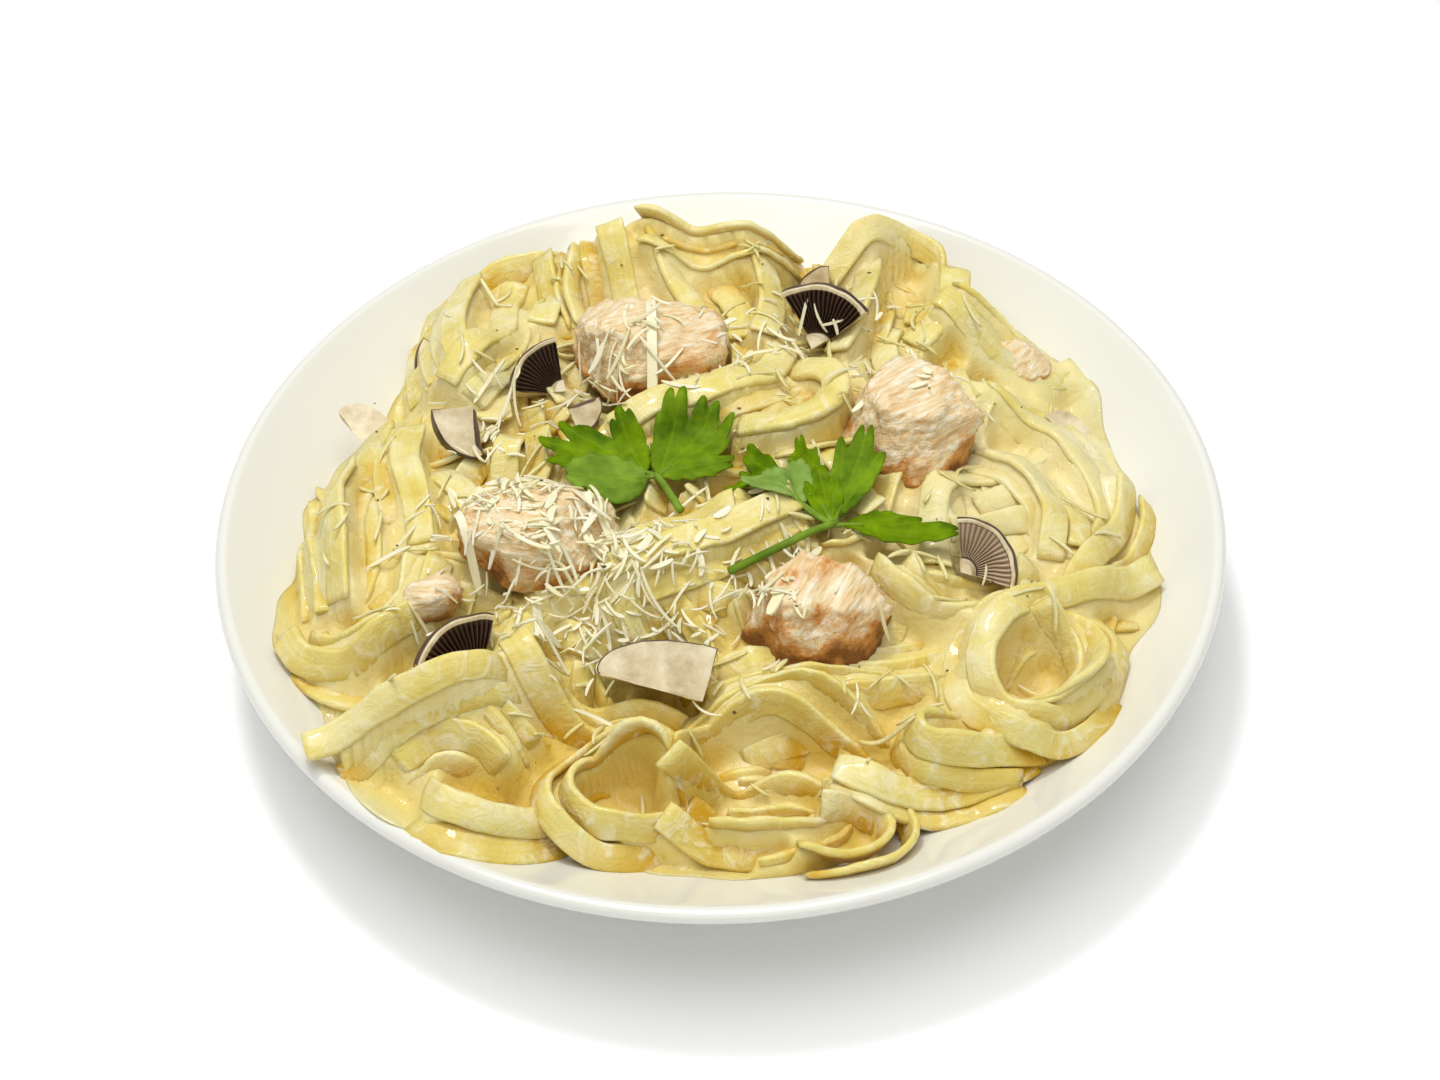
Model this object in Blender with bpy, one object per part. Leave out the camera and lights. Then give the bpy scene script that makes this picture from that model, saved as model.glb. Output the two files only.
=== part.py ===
"""Fettuccine alfredo with chicken, mushrooms and parsley on a round coupe plate.

Metres, +Z up. The origin is the middle of the plate's foot, on the surface that it stands on.
The diner sits at -Y, so "front" is -Y and "back" is +Y.
"""

import math
import random

import bmesh
import bpy
from mathutils import Euler, Matrix, Vector, noise
from mathutils.bvhtree import BVHTree

MM = 0.001
GAP = 0.3 * MM  # clearance between solids that touch

# Plate: a coupe form with a flat well, a wall that curves up to a round lip, and a foot ring.
PLATE_RADIUS = 135 * MM
LIP_RADIUS = 2.3 * MM
LIP_Z = 38 * MM  # middle of the lip's round section
WELL_RADIUS = 62 * MM
WELL_Z = 9 * MM
WALL_POWER = 1.9
WALL_THICKNESS = 4.6 * MM
FOOT_RADIUS = 66 * MM
FOOT_WIDTH = 5 * MM
FOOT_HEIGHT = 3.5 * MM
PLATE_SEGMENTS = 44

# Cream sauce: a layer that lies on the plate and shows round the foot of the heap.
SAUCE_DEPTH = 2.2 * MM
SAUCE_MARGIN = 1.5 * MM
SAUCE_SPILLS = ((258, 4.0, 26), (38, 4.5, 16), (318, 2.5, 18))  # degrees, extra mm, spread in degrees
SAUCE_SEGMENTS = 40

# Noodle heap.
HEAP_RADIUS = 112 * MM
HEAP_BULGES = ((30, 7, 18), (90, -2, 28), (212, 9, 25), (308, -7, 22), (345, 4, 10))
CROWN_Z = 52 * MM
FRONT_Z = 29 * MM
EDGE_STEEPNESS = 4.5
EDGE_POWER = 0.6
NOODLE_WIDTH = 9.5 * MM
NOODLE_THICKNESS = 3.2 * MM
FILLER_NOODLES = 46
HEAP_VOXEL = 2.0 * MM
HEAP_TRIANGLES = 1900

# Mushroom, as cut into wedges and slices: the stem's axis is +Z, and the cap's rim is at z = 0.
CAP_RADIUS = 15 * MM
CAP_HEIGHT = 11 * MM
STEM_RADIUS = 5 * MM
STEM_LENGTH = 9 * MM

PARSLEY_THICKNESS = 1.1 * MM


def clear_scene():
    for obj in list(bpy.data.objects):
        bpy.data.objects.remove(obj, do_unlink=True)


def material(name, colour, roughness):
    made = bpy.data.materials.new(name)
    made.use_nodes = True
    shader = made.node_tree.nodes["Principled BSDF"]
    shader.inputs["Base Color"].default_value = (*colour, 1.0)
    shader.inputs["Roughness"].default_value = roughness
    shader.inputs["Metallic"].default_value = 0.0
    return made


def new_object(name, bm, mat=None):
    """The bmesh as an object of that name, with its faces pointing out."""
    bmesh.ops.recalc_face_normals(bm, faces=bm.faces)
    mesh = bpy.data.meshes.new(name)
    bm.to_mesh(mesh)
    bm.free()
    obj = bpy.data.objects.new(name, mesh)
    bpy.context.scene.collection.objects.link(obj)
    if mat:
        mesh.materials.append(mat)
    return obj


def shade_smooth(obj, angle=40):
    obj.data.shade_smooth()
    obj.data.set_sharp_from_angle(angle=math.radians(angle))


def smoothstep(low, high, value):
    t = min(1.0, max(0.0, (value - low) / (high - low)))
    return t * t * (3 - 2 * t)


def bumps(degrees, table):
    """Sum of the (direction, height in mm, spread) bumps at a direction in degrees, in metres."""
    total = 0.0
    for direction, height, spread in table:
        off = (degrees - direction + 180) % 360 - 180
        total += height * MM * math.exp(-((off / spread) ** 2))
    return total


# ---------------------------------------------------------------- revolved and swept shapes


def revolve(profile, start=0.0, sweep=360.0, steps=24):
    """A bmesh: the (radius, height) profile turned about Z. A part turn gets its two cut faces.

    The profile's first and last points lie on the axis, where each is a single vertex.
    """
    bm = bmesh.new()
    whole = abs(sweep - 360.0) < 1e-9
    turns = steps if whole else steps + 1
    first = bm.verts.new((0, 0, profile[0][1]))
    last = bm.verts.new((0, 0, profile[-1][1]))
    rings = []
    for turn in range(turns):
        angle = math.radians(start + sweep * turn / steps)
        ring = [bm.verts.new((r * math.cos(angle), r * math.sin(angle), z)) for r, z in profile[1:-1]]
        rings.append([first, *ring, last])
    for turn in range(steps):
        here, there = rings[turn], rings[(turn + 1) % turns]
        for i in range(len(profile) - 1):
            corners = [here[i], here[i + 1], there[i + 1], there[i]]
            bm.faces.new(list(dict.fromkeys(corners)))
    if not whole:
        bm.faces.new(rings[0])
        bm.faces.new(rings[-1])
    return bm


def polar_solid(outline, top, bottom, segments, rings):
    """A bmesh between two height functions of (x, y), inside outline(degrees)."""
    bm = bmesh.new()
    sides = {}
    for key, height in (("top", top), ("bottom", bottom)):
        centre = bm.verts.new((0, 0, height(0, 0)))
        grid = []
        for ring in range(1, rings + 1):
            share = (ring / rings) ** 0.75
            row = []
            for step in range(segments):
                degrees = 360 * step / segments
                radius = outline(degrees) * share
                x = radius * math.cos(math.radians(degrees))
                y = radius * math.sin(math.radians(degrees))
                row.append(bm.verts.new((x, y, height(x, y))))
            grid.append(row)
        for step in range(segments):
            after = (step + 1) % segments
            bm.faces.new((centre, grid[0][step], grid[0][after]))
            for ring in range(rings - 1):
                inner, outer = grid[ring], grid[ring + 1]
                bm.faces.new((inner[step], outer[step], outer[after], inner[after]))
        sides[key] = grid[-1]
    for step in range(segments):
        after = (step + 1) % segments
        upper, lower = sides["top"], sides["bottom"]
        bm.faces.new((upper[step], upper[after], lower[after], lower[step]))
    return bm


def smooth_path(points, count):
    """That many points on a Catmull-Rom curve through the given ones."""
    ends = [2 * points[0] - points[1], *points, 2 * points[-1] - points[-2]]
    spans = len(points) - 1
    path = []
    for i in range(count):
        t = spans * i / (count - 1)
        span = min(int(t), spans - 1)
        u = t - span
        a, b, c, d = ends[span : span + 4]
        bend = (2 * a - 5 * b + 4 * c - d) * u * u + (3 * b - a - 3 * c + d) * u**3
        path.append(0.5 * (2 * b + (c - a) * u + bend))
    return path


def add_ribbon(bm, path, roll, width=NOODLE_WIDTH, thickness=NOODLE_THICKNESS):
    """Sweeps a noodle's flat section along the path; roll 0 lies flat, and 90 stands on edge."""
    rings = []
    for i, point in enumerate(path):
        along = (path[min(i + 1, len(path) - 1)] - path[max(i - 1, 0)]).normalized()
        side = along.cross(Vector((0, 0, 1))).normalized()
        turn = Matrix.Rotation(math.radians(roll), 3, along)
        across = turn @ side * (width / 2)
        through = turn @ side.cross(along) * (thickness / 2)
        corners = ((-1, -1), (1, -1), (1, 1), (-1, 1))
        rings.append([bm.verts.new(point + across * u + through * v) for u, v in corners])
    for here, there in zip(rings, rings[1:]):
        for i in range(4):
            j = (i + 1) % 4
            bm.faces.new((here[i], here[j], there[j], there[i]))
    bm.faces.new(rings[0][::-1])
    bm.faces.new(rings[-1])


# ---------------------------------------------------------------- plate and sauce


def plate_inner_z(radius):
    """Height of the plate's upper face at that distance from the middle."""
    lip_inner = PLATE_RADIUS - 2 * LIP_RADIUS
    share = max(0.0, (radius - WELL_RADIUS) / (lip_inner - WELL_RADIUS))
    return WELL_Z + (LIP_Z - WELL_Z) * share**WALL_POWER


def plate_profile():
    lip_middle = PLATE_RADIUS - LIP_RADIUS
    lip_inner = PLATE_RADIUS - 2 * LIP_RADIUS
    wall = [WELL_RADIUS + (lip_inner - WELL_RADIUS) * i / 7 for i in range(8)]
    upper = [(0.0, WELL_Z), (WELL_RADIUS * 0.55, WELL_Z), *((r, plate_inner_z(r)) for r in wall)]
    lip = []
    for step in range(1, 4):
        angle = math.pi - math.pi * step / 3
        lip.append((lip_middle + LIP_RADIUS * math.cos(angle), LIP_Z + LIP_RADIUS * math.sin(angle)))
    foot_outer = FOOT_RADIUS + FOOT_WIDTH / 2
    foot_inner = FOOT_RADIUS - FOOT_WIDTH / 2
    outside = [PLATE_RADIUS + (foot_outer + 3 * MM - PLATE_RADIUS) * i / 5 for i in range(1, 6)]
    lower = [(r, max(FOOT_HEIGHT, plate_inner_z(r) - WALL_THICKNESS)) for r in outside]
    foot = [
        (foot_outer, FOOT_HEIGHT * 0.7),
        (foot_outer - 1 * MM, 0.0),
        (foot_inner + 1 * MM, 0.0),
        (foot_inner, FOOT_HEIGHT * 0.7),
        (foot_inner - 1.5 * MM, FOOT_HEIGHT),
    ]
    return [*upper, *lip, *lower, *foot, (0.0, FOOT_HEIGHT)]


def make_plate(mat):
    plate = new_object("plate", revolve(plate_profile(), steps=PLATE_SEGMENTS), mat)
    shade_smooth(plate)
    return plate


def heap_outline(degrees):
    return HEAP_RADIUS + bumps(degrees, HEAP_BULGES)


def sauce_outline(degrees):
    return heap_outline(degrees) + SAUCE_MARGIN + bumps(degrees, SAUCE_SPILLS)


def share_of(outline, x, y):
    """Distance from the middle as a share of the outline's radius in that direction."""
    return min(1.0, math.hypot(x, y) / outline(math.degrees(math.atan2(y, x))))


def sauce_top_z(x, y):
    """The sauce thins to a rounded edge at its outline."""
    share = share_of(sauce_outline, x, y)
    depth = SAUCE_DEPTH * (0.25 + 0.75 * math.sqrt(max(0.0, 1 - share**8)))
    return plate_inner_z(math.hypot(x, y)) + GAP + depth


def make_sauce(mat):
    def bottom(x, y):
        return plate_inner_z(math.hypot(x, y)) + GAP

    shape = polar_solid(sauce_outline, sauce_top_z, bottom, SAUCE_SEGMENTS, 4)
    sauce = new_object("cream_sauce", shape, mat)
    shade_smooth(sauce)
    return sauce


# ---------------------------------------------------------------- noodle heap


def mound_z(x, y):
    """Height of the heap's body, without the noodles that stand out of it."""
    base = plate_inner_z(math.hypot(x, y))
    crown = FRONT_Z + (CROWN_Z - FRONT_Z) * smoothstep(-105 * MM, -30 * MM, y)
    crown -= 10 * MM * smoothstep(50 * MM, 110 * MM, x)
    share = share_of(heap_outline, x, y)
    lumps = 2.0 * MM * noise.noise(Vector((x, y, 0)) / (24 * MM))
    return base + (crown + lumps - base) * (1 - share**EDGE_STEEPNESS) ** EDGE_POWER


def on_mound(x, y, lift):
    """The point that far above the mound, with x, y and lift in mm."""
    return Vector((x * MM, y * MM, mound_z(x * MM, y * MM) + lift * MM))


def loop_path(x, y, radius_x, radius_y, start, sweep, lift, turns=22):
    """A loop of noodle round (x, y), with the sizes in mm and the angles in degrees."""
    points = []
    for step in range(turns):
        angle = math.radians(start + sweep * step / (turns - 1))
        points.append(on_mound(x + radius_x * math.cos(angle), y + radius_y * math.sin(angle), lift))
    return points


def through(*stops, count=24):
    """A smooth path through (x, y, lift) stops in mm."""
    return smooth_path([on_mound(*stop) for stop in stops], count)


def named_noodles():
    """The noodles that stand out of the heap, as (path, roll) pairs."""
    return [
        (through((-99, 28, 1), (-100, 0, 2), (-100, -22, 2), (-104, -40, 2)), 0),
        (through((-112, -44, 2), (-95, -52, 3), (-78, -46, 3), (-70, -28, 1)), 20),
        (through((-92, -76, 5), (-84, -73, 5), (-68, -71, 4), (-55, -60, 2)), 70),
        (loop_path(-66, -82, 22, 20, 100, 230, 2), 60),
        (loop_path(-26, -92, 15, 13, 0, 350, 2), 80),
        (loop_path(8, -88, 26, 18, 200, -300, 2), 70),
        (loop_path(6, -104, 26, 9, 170, -320, 1), 75),
        (loop_path(58, -82, 15, 9, 30, 310, 2), 70),
        (through((114, -26, 3), (98, -38, 4), (78, -50, 4), (66, -58, 3), (64, -70, 2)), 25),
        (loop_path(79, -64, 15, 15, 150, 290, 3), 80),
        (loop_path(60, -32, 22, 14, 180, 190, 2), 60),
        (through((-66, 98, -1), (-58, 92, 4), (-46, 92, 3), (-40, 76, 2)), 0),
        (through((-84, 84, 1), (-80, 60, 3), (-76, 36, 2)), 10),
        (through((-68, 74, 2), (-66, 52, 3), (-70, 30, 1)), 0),
        (through((44, 92, 2), (58, 94, 5), (66, 92, 4), (62, 78, 1)), 30),
        (through((-44, -44, 3), (-10, -34, 4), (24, -14, 3)), 0),
        (through((-8, -22, 3), (20, -4, 4), (30, 24, 3), (22, 48, 1)), 0),
        (through((88, 30, 1), (98, 10, 2), (104, -10, 1), (102, -24, 1)), 20),
        (through((60, 66, 2), (84, 62, 3), (102, 50, 0)), 10),
    ]


def filler_noodles(rng):
    """Arcs of noodle spread over the heap, as (path, roll) pairs."""
    noodles = []
    for _ in range(FILLER_NOODLES):
        direction = rng.uniform(0, 360)
        distance = heap_outline(direction) / MM * math.sqrt(rng.uniform(0.02, 0.72))
        x = distance * math.cos(math.radians(direction))
        y = distance * math.sin(math.radians(direction))
        radius = rng.uniform(12, 30)
        sweep = rng.choice((-1, 1)) * rng.uniform(100, 240)
        path = loop_path(x, y, radius, radius * 0.8, rng.uniform(0, 360), sweep, rng.uniform(-1, 2), 16)
        inside = [p for p in path if share_of(heap_outline, p.x, p.y) < 0.95]
        if len(inside) > 5:
            noodles.append((inside, rng.uniform(-25, 25)))
    return noodles


def largest_island(obj):
    """Drops the loose crumbs that a cut leaves, so that one body stays."""
    bm = bmesh.new()
    bm.from_mesh(obj.data)
    unseen = set(bm.verts)
    islands = []
    while unseen:
        edge_of_island = [unseen.pop()]
        island = set(edge_of_island)
        while edge_of_island:
            vert = edge_of_island.pop()
            for edge in vert.link_edges:
                other = edge.other_vert(vert)
                if other in unseen:
                    unseen.remove(other)
                    island.add(other)
                    edge_of_island.append(other)
        islands.append(island)
    keep = max(islands, key=len)
    bmesh.ops.delete(bm, geom=[v for v in bm.verts if v not in keep], context="VERTS")
    bm.to_mesh(obj.data)
    bm.free()


def apply_modifiers(obj):
    """Replaces the object's mesh with what its modifiers make of it."""
    graph = bpy.context.evaluated_depsgraph_get()
    graph.update()
    mesh = bpy.data.meshes.new_from_object(obj.evaluated_get(graph))
    obj.modifiers.clear()
    obj.data = mesh


def decimate(obj, triangles):
    fewer = obj.modifiers.new("fewer_faces", "DECIMATE")
    fewer.ratio = triangles / sum(len(face.vertices) - 2 for face in obj.data.polygons)
    apply_modifiers(obj)


def combine(obj, other, operation):
    """Cuts the other shape out of the object or joins it on, and removes the other."""
    modifier = obj.modifiers.new("combine", "BOOLEAN")
    modifier.operation = operation
    modifier.solver = "MANIFOLD"  # both meshes are closed, and it copes with the decimated skin
    modifier.object = other
    apply_modifiers(obj)
    bpy.data.objects.remove(other, do_unlink=True)


def grown_copy(obj, by, hull=False):
    """A cutter: the object's shape pushed out along its vertex normals, or the hull of that."""
    bm = bmesh.new()
    bm.from_mesh(obj.data)
    bm.transform(obj.matrix_world)
    bm.normal_update()
    for vert in bm.verts:
        vert.co += vert.normal * by * vert.calc_shell_factor()
    if hull:
        made = bmesh.ops.convex_hull(bm, input=bm.verts)
        skin = {element for element in made["geom"] if isinstance(element, bmesh.types.BMFace)}
        bmesh.ops.delete(bm, geom=[face for face in bm.faces if face not in skin], context="FACES")
        bmesh.ops.delete(bm, geom=[vert for vert in bm.verts if not vert.link_faces], context="VERTS")
    return new_object(obj.name + "_cutter", bm)


def plate_cutter():
    """All that lies below a face a little above the plate's, inside the sauce."""

    def outline(_degrees):
        return PLATE_RADIUS + 5 * MM

    def top(x, y):
        return plate_inner_z(math.hypot(x, y)) + SAUCE_DEPTH / 3

    return new_object("plate_cutter", polar_solid(outline, top, lambda x, y: -20 * MM, SAUCE_SEGMENTS, 6))


def make_heap(mat, sauce, toppings):
    shape = polar_solid(heap_outline, mound_z, lambda x, y: 2 * MM, 90, 30)
    rng = random.Random(7)
    for path, roll in [*filler_noodles(rng), *named_noodles()]:
        add_ribbon(shape, path, roll)
    heap = new_object("noodle_heap", shape, mat)
    remesh = heap.modifiers.new("one_skin", "REMESH")
    remesh.mode = "VOXEL"
    remesh.voxel_size = HEAP_VOXEL
    apply_modifiers(heap)
    decimate(heap, HEAP_TRIANGLES)
    combine(heap, plate_cutter(), "DIFFERENCE")
    combine(heap, grown_copy(sauce, 2 * GAP), "DIFFERENCE")
    for topping in toppings:
        combine(heap, grown_copy(topping, GAP, hull=True), "DIFFERENCE")
    largest_island(heap)
    shade_smooth(heap, 60)
    return heap


# ---------------------------------------------------------------- chicken

# Name, middle x, y and lift over the mound, length, width and height, all in mm, and turn in degrees.
CHICKEN = (
    ("chicken_back", (-18, 47, 2), (43, 31, 25), 4),
    ("chicken_right", (54, 15, 2), (37, 33, 25), -25),
    ("chicken_left", (-47, -25, 2), (42, 29, 24), 12),
    ("chicken_front", (24, -50, 2), (36, 27, 24), -14),
    ("chicken_side", (-74, -39, 0), (18, 14, 13), 60),
    ("chicken_sunk", (85, 55, 0), (24, 16, 11), -20),
)
KNIFE_CUTS = 7
BIG_CHUNK = 30  # length in mm from which a chunk is drawn more finely
BIG_CHUNK_TRIANGLES = 170
MOST_LEAN = 8  # degrees about X and about Y


def make_chicken(number, name, place, size, turn, mat):
    """A bite-size chunk of fillet: a rounded block with a few flat knife cuts."""
    rng = random.Random(100 + number)
    cuts = []
    for _ in range(KNIFE_CUTS):
        tilt = Vector([rng.gauss(0, 1) for _ in range(3)]).normalized()
        cuts.append((tilt, rng.uniform(0.72, 0.9)))
    bm = bmesh.new()
    bmesh.ops.create_icosphere(bm, subdivisions=3 if size[0] > BIG_CHUNK else 2, radius=1.0)
    half = Vector(size) * MM / 2
    for vert in bm.verts:
        point = vert.co.normalized()
        boxy = (abs(point.x) ** 3 + abs(point.y) ** 3 + abs(point.z) ** 3) ** (-1 / 3)
        point = point * boxy
        for normal, reach in cuts:
            over = point.dot(normal) - reach
            if over > 0:
                point -= normal * over
        point *= 1 + 0.07 * noise.noise(point * 2.3 + Vector((number, 0, 0)))
        vert.co = Vector(a * b for a, b in zip(point, half))
    chunk = new_object(name, bm, mat)
    if size[0] > BIG_CHUNK:
        decimate(chunk, BIG_CHUNK_TRIANGLES)
    chunk.location = on_mound(*place)
    lean = [rng.uniform(-MOST_LEAN, MOST_LEAN) for _ in range(2)]
    chunk.rotation_euler = [math.radians(degrees) for degrees in (*lean, turn)]
    shade_smooth(chunk, 50)
    return chunk


# ---------------------------------------------------------------- mushrooms

# Name, form, size as a share of CAP_RADIUS, middle x, y and lift in mm, and turns about X, Y, Z in degrees.
MUSHROOMS = (
    ("mushroom_back", "wedge", 1.15, (31, 60, 3), (-100, 0, 190)),
    ("mushroom_behind", "slice", 0.55, (30, 84, 2), (80, 0, 0)),
    ("mushroom_gills", "wedge", 1.0, (-51, 38, 2), (-70, 30, 150)),
    ("mushroom_strip", "slice", 0.8, (-35, 23, 1), (15, 75, 75)),
    ("mushroom_left", "slice", 1.0, (-70, 15, 2), (60, 20, -65)),
    ("mushroom_tip", "slice", 0.8, (-97, 33, 4), (20, 8, 120)),
    ("mushroom_rim_left", "slice", 0.85, (-86, 60, 2), (90, 0, 80)),
    ("mushroom_inner", "wedge", 0.75, (-69, 61, 0), (-60, 0, 100)),
    ("mushroom_pit", "wedge", 1.0, (-69, -56, 0), (-60, 20, 160)),
    ("mushroom_front", "wedge", 1.2, (-15, -63, 0), (-75, 20, 60)),
    ("mushroom_right", "wedge", 1.1, (67, -32, 1), (-80, -40, 150)),
    ("mushroom_rim_right", "slice", 0.8, (99, 30, 2), (15, 20, 40)),
    ("mushroom_sliver", "slice", 0.75, (71, 73, 0), (20, 10, -40)),
)
SLICE_THICKNESS = 5.5 * MM
WEDGE_ANGLE = 100.0


def mushroom_profile(scale):
    """Half of a mushroom's outline as (radius, height), from the cap's top round to the stem's foot."""
    cap, height = CAP_RADIUS * scale, CAP_HEIGHT * scale
    stem, foot = STEM_RADIUS * scale, -STEM_LENGTH * scale
    skin = [(cap * math.sin(a), height * math.cos(a)) for a in (math.pi / 2 * i / 4 for i in range(5))]
    rim = [(cap * 0.97, -height * 0.16), (cap * 0.86, -height * 0.2)]
    gills = [(cap * 0.6, height * 0.1), (stem * 1.15, height * 0.14)]
    return [*skin, *rim, *gills, (stem * 0.9, foot * 0.6), (stem, foot), (0.0, foot)]


def make_slice(scale):
    """A slice through cap and stem, with rounded edges."""
    half = mushroom_profile(scale)
    outline = [*half, *((-x, z) for x, z in half[-2:0:-1])]
    bm = bmesh.new()
    depth = SLICE_THICKNESS / 2
    front = bm.faces.new([bm.verts.new((x, -depth, z)) for x, z in outline])
    grown = bmesh.ops.extrude_face_region(bm, geom=[front])
    moved = [v for v in grown["geom"] if isinstance(v, bmesh.types.BMVert)]
    bmesh.ops.translate(bm, verts=moved, vec=(0, 2 * depth, 0))
    return bm


def make_mushroom(name, form, scale, place, turns, mat):
    if form == "wedge":
        bm = revolve(mushroom_profile(scale), -WEDGE_ANGLE / 2, WEDGE_ANGLE, 5)
    else:
        bm = make_slice(scale)
    bmesh.ops.triangulate(bm, faces=[f for f in bm.faces if len(f.verts) > 4])
    low = Vector(min(v.co[i] for v in bm.verts) for i in range(3))
    high = Vector(max(v.co[i] for v in bm.verts) for i in range(3))
    bmesh.ops.translate(bm, verts=bm.verts, vec=-(low + high) / 2)
    piece = new_object(name, bm, mat)
    piece.location = on_mound(*place)
    piece.rotation_euler = Euler([math.radians(t) for t in turns])
    shade_smooth(piece, 35)
    return piece


# ---------------------------------------------------------------- parsley

# Name, hub, leaflets, stalk, and how far the leaves droop in mm at 30 mm from the hub.
# Each leaflet: direction in degrees, stalk length, blade length and width in mm.
PARSLEY = (
    (
        "parsley_left",
        (-18, -7),
        ((38, 8, 26, 24), (95, 8, 18, 16), (152, 10, 26, 18), (205, 5, 25, 26)),
        (-52, 20),
        5,
    ),
    (
        "parsley_right",
        (28, -25),
        ((-24, 6, 28, 13), (68, 6, 28, 15), (112, 5, 19, 13), (150, 9, 20, 20)),
        (-148, 32),
        6,
    ),
)
LOBES = 3
LEAF_ROWS = 9
HUB_OVERLAP = 1.5  # mm by which each petiole runs past the hub
STALK_HALF_WIDTH = 0.9
LEAF_REACH = 5.0  # mm round a leaf's point in which it stays above the food
LEAF_CLEARANCE = 0.8  # mm of air under a leaf
LEAF_LIFT = 2.0  # mm from the food up to the hub


def leaflet_rows(direction, stalk, length, width):
    """Rows of (right, middle, left) points in mm, from just past the hub along a petiole and its blade."""
    along = Vector((math.cos(math.radians(direction)), math.sin(math.radians(direction))))
    across = Vector((-along.y, along.x))
    rows = []
    for i in range(-1, LEAF_ROWS):
        t = i / (LEAF_ROWS - 1)
        reach = stalk + length * t if i >= 0 else -HUB_OVERLAP
        body = math.sin(math.pi * t**0.8) ** 0.75 if 0 < t < 1 else 0.0
        teeth = 0.82 + 0.18 * math.cos(2 * math.pi * LOBES * t)
        half = max(STALK_HALF_WIDTH, width / 2 * body * teeth)
        rows.append([along * reach + across * half * side for side in (-1, 0, 1)])
    return rows


def stalk_rows(direction, length):
    along = Vector((math.cos(math.radians(direction)), math.sin(math.radians(direction))))
    across = Vector((-along.y, along.x))
    reaches = (-HUB_OVERLAP, *(length * i / 4 for i in range(1, 5)))
    return [[along * reach + across * STALK_HALF_WIDTH * side for side in (-1, 1)] for reach in reaches]


def world_tree(obj):
    """The object's faces as a tree for ray casts."""
    mesh = obj.data
    points = [obj.matrix_world @ v.co for v in mesh.vertices]
    return BVHTree.FromPolygons(points, [list(face.vertices) for face in mesh.polygons])


def support_z(x, y, trees):
    """Height of what a leaf lies on within LEAF_REACH of (x, y), which are in mm."""
    stops = [(x, y)]
    for step in range(8):
        angle = math.radians(45 * step)
        for reach in (LEAF_REACH / 2, LEAF_REACH):
            stops.append((x + reach * math.cos(angle), y + reach * math.sin(angle)))
    highest = -1.0
    for stop in stops:
        ground = on_mound(*stop, 0)
        heights = [ground.z]
        for tree in trees:
            hit = tree.ray_cast(Vector((ground.x, ground.y, 2 * CROWN_Z)), Vector((0, 0, -1)))[0]
            if hit:
                heights.append(hit.z)
        highest = max(highest, *heights)
    return highest


def draped_sheet(name, rows, hub, lift, droop, trees, mat):
    """A thin solid through the rows of points, bent down with its distance from the hub."""
    bm = bmesh.new()
    grid = [[bm.verts.new((hub[0] + point.x, hub[1] + point.y, 0)) for point in row] for row in rows]
    faces = []
    for here, there in zip(grid, grid[1:]):
        for i in range(len(here) - 1):
            faces.append(bm.faces.new((here[i], here[i + 1], there[i + 1], there[i])))
    grown = bmesh.ops.extrude_face_region(bm, geom=faces)
    upper = {v for v in grown["geom"] if isinstance(v, bmesh.types.BMVert)}
    hub_z = support_z(*hub, trees) + LEAF_LIFT * MM
    for vert in bm.verts:
        x, y, _ = vert.co
        sagged = hub_z - droop * MM * (math.hypot(x - hub[0], y - hub[1]) / 30) ** 2
        lower = max(sagged, support_z(x, y, trees) + LEAF_CLEARANCE * MM) + lift
        vert.co = (x * MM, y * MM, lower + (PARSLEY_THICKNESS if vert in upper else 0))
    return new_object(name, bm, mat)


def make_parsley(name, hub, leaflets, stalk, droop, mat, solids):
    """A sprig as one thin solid: its leaflets and its stalk, joined at the hub."""
    trees = [world_tree(solid) for solid in solids]
    sprig = draped_sheet(name, stalk_rows(*stalk), hub, 0.0, droop, trees, mat)
    for number, leaflet in enumerate(leaflets, 1):
        lift = number * PARSLEY_THICKNESS / 5
        blade = draped_sheet("blade", leaflet_rows(*leaflet), hub, lift, droop, trees, None)
        combine(sprig, blade, "UNION")
    shade_smooth(sprig, 50)
    return sprig


# ---------------------------------------------------------------- the dish


def main():
    clear_scene()
    make_plate(material("glazed_stoneware", (0.86, 0.83, 0.72), 0.15))
    sauce = make_sauce(material("alfredo_cream", (0.83, 0.74, 0.46), 0.3))
    meat = material("chicken_breast", (0.74, 0.54, 0.38), 0.55)
    flesh = material("mushroom", (0.55, 0.42, 0.30), 0.5)
    herb = material("parsley_leaf", (0.11, 0.30, 0.03), 0.45)
    toppings = [make_chicken(number, *row, meat) for number, row in enumerate(CHICKEN)]
    toppings += [make_mushroom(*row, flesh) for row in MUSHROOMS]
    bpy.context.view_layer.update()
    heap = make_heap(material("fettuccine", (0.78, 0.66, 0.31), 0.4), sauce, toppings)
    for row in PARSLEY:
        make_parsley(*row, herb, [heap, *toppings])


main()
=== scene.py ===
"""Looks of the plate of fettuccine alfredo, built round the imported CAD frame.

Lengths in the food's own functions are millimetres, in the frame's axes, and become metres when a mesh is made.
The noodles are laid one by one on a height field, so that each rests on those below it.
"""

import math
import random

import bmesh
import bpy
import numpy as np
from mathutils import Matrix, Vector, noise
from mathutils.bvhtree import BVHTree


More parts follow.
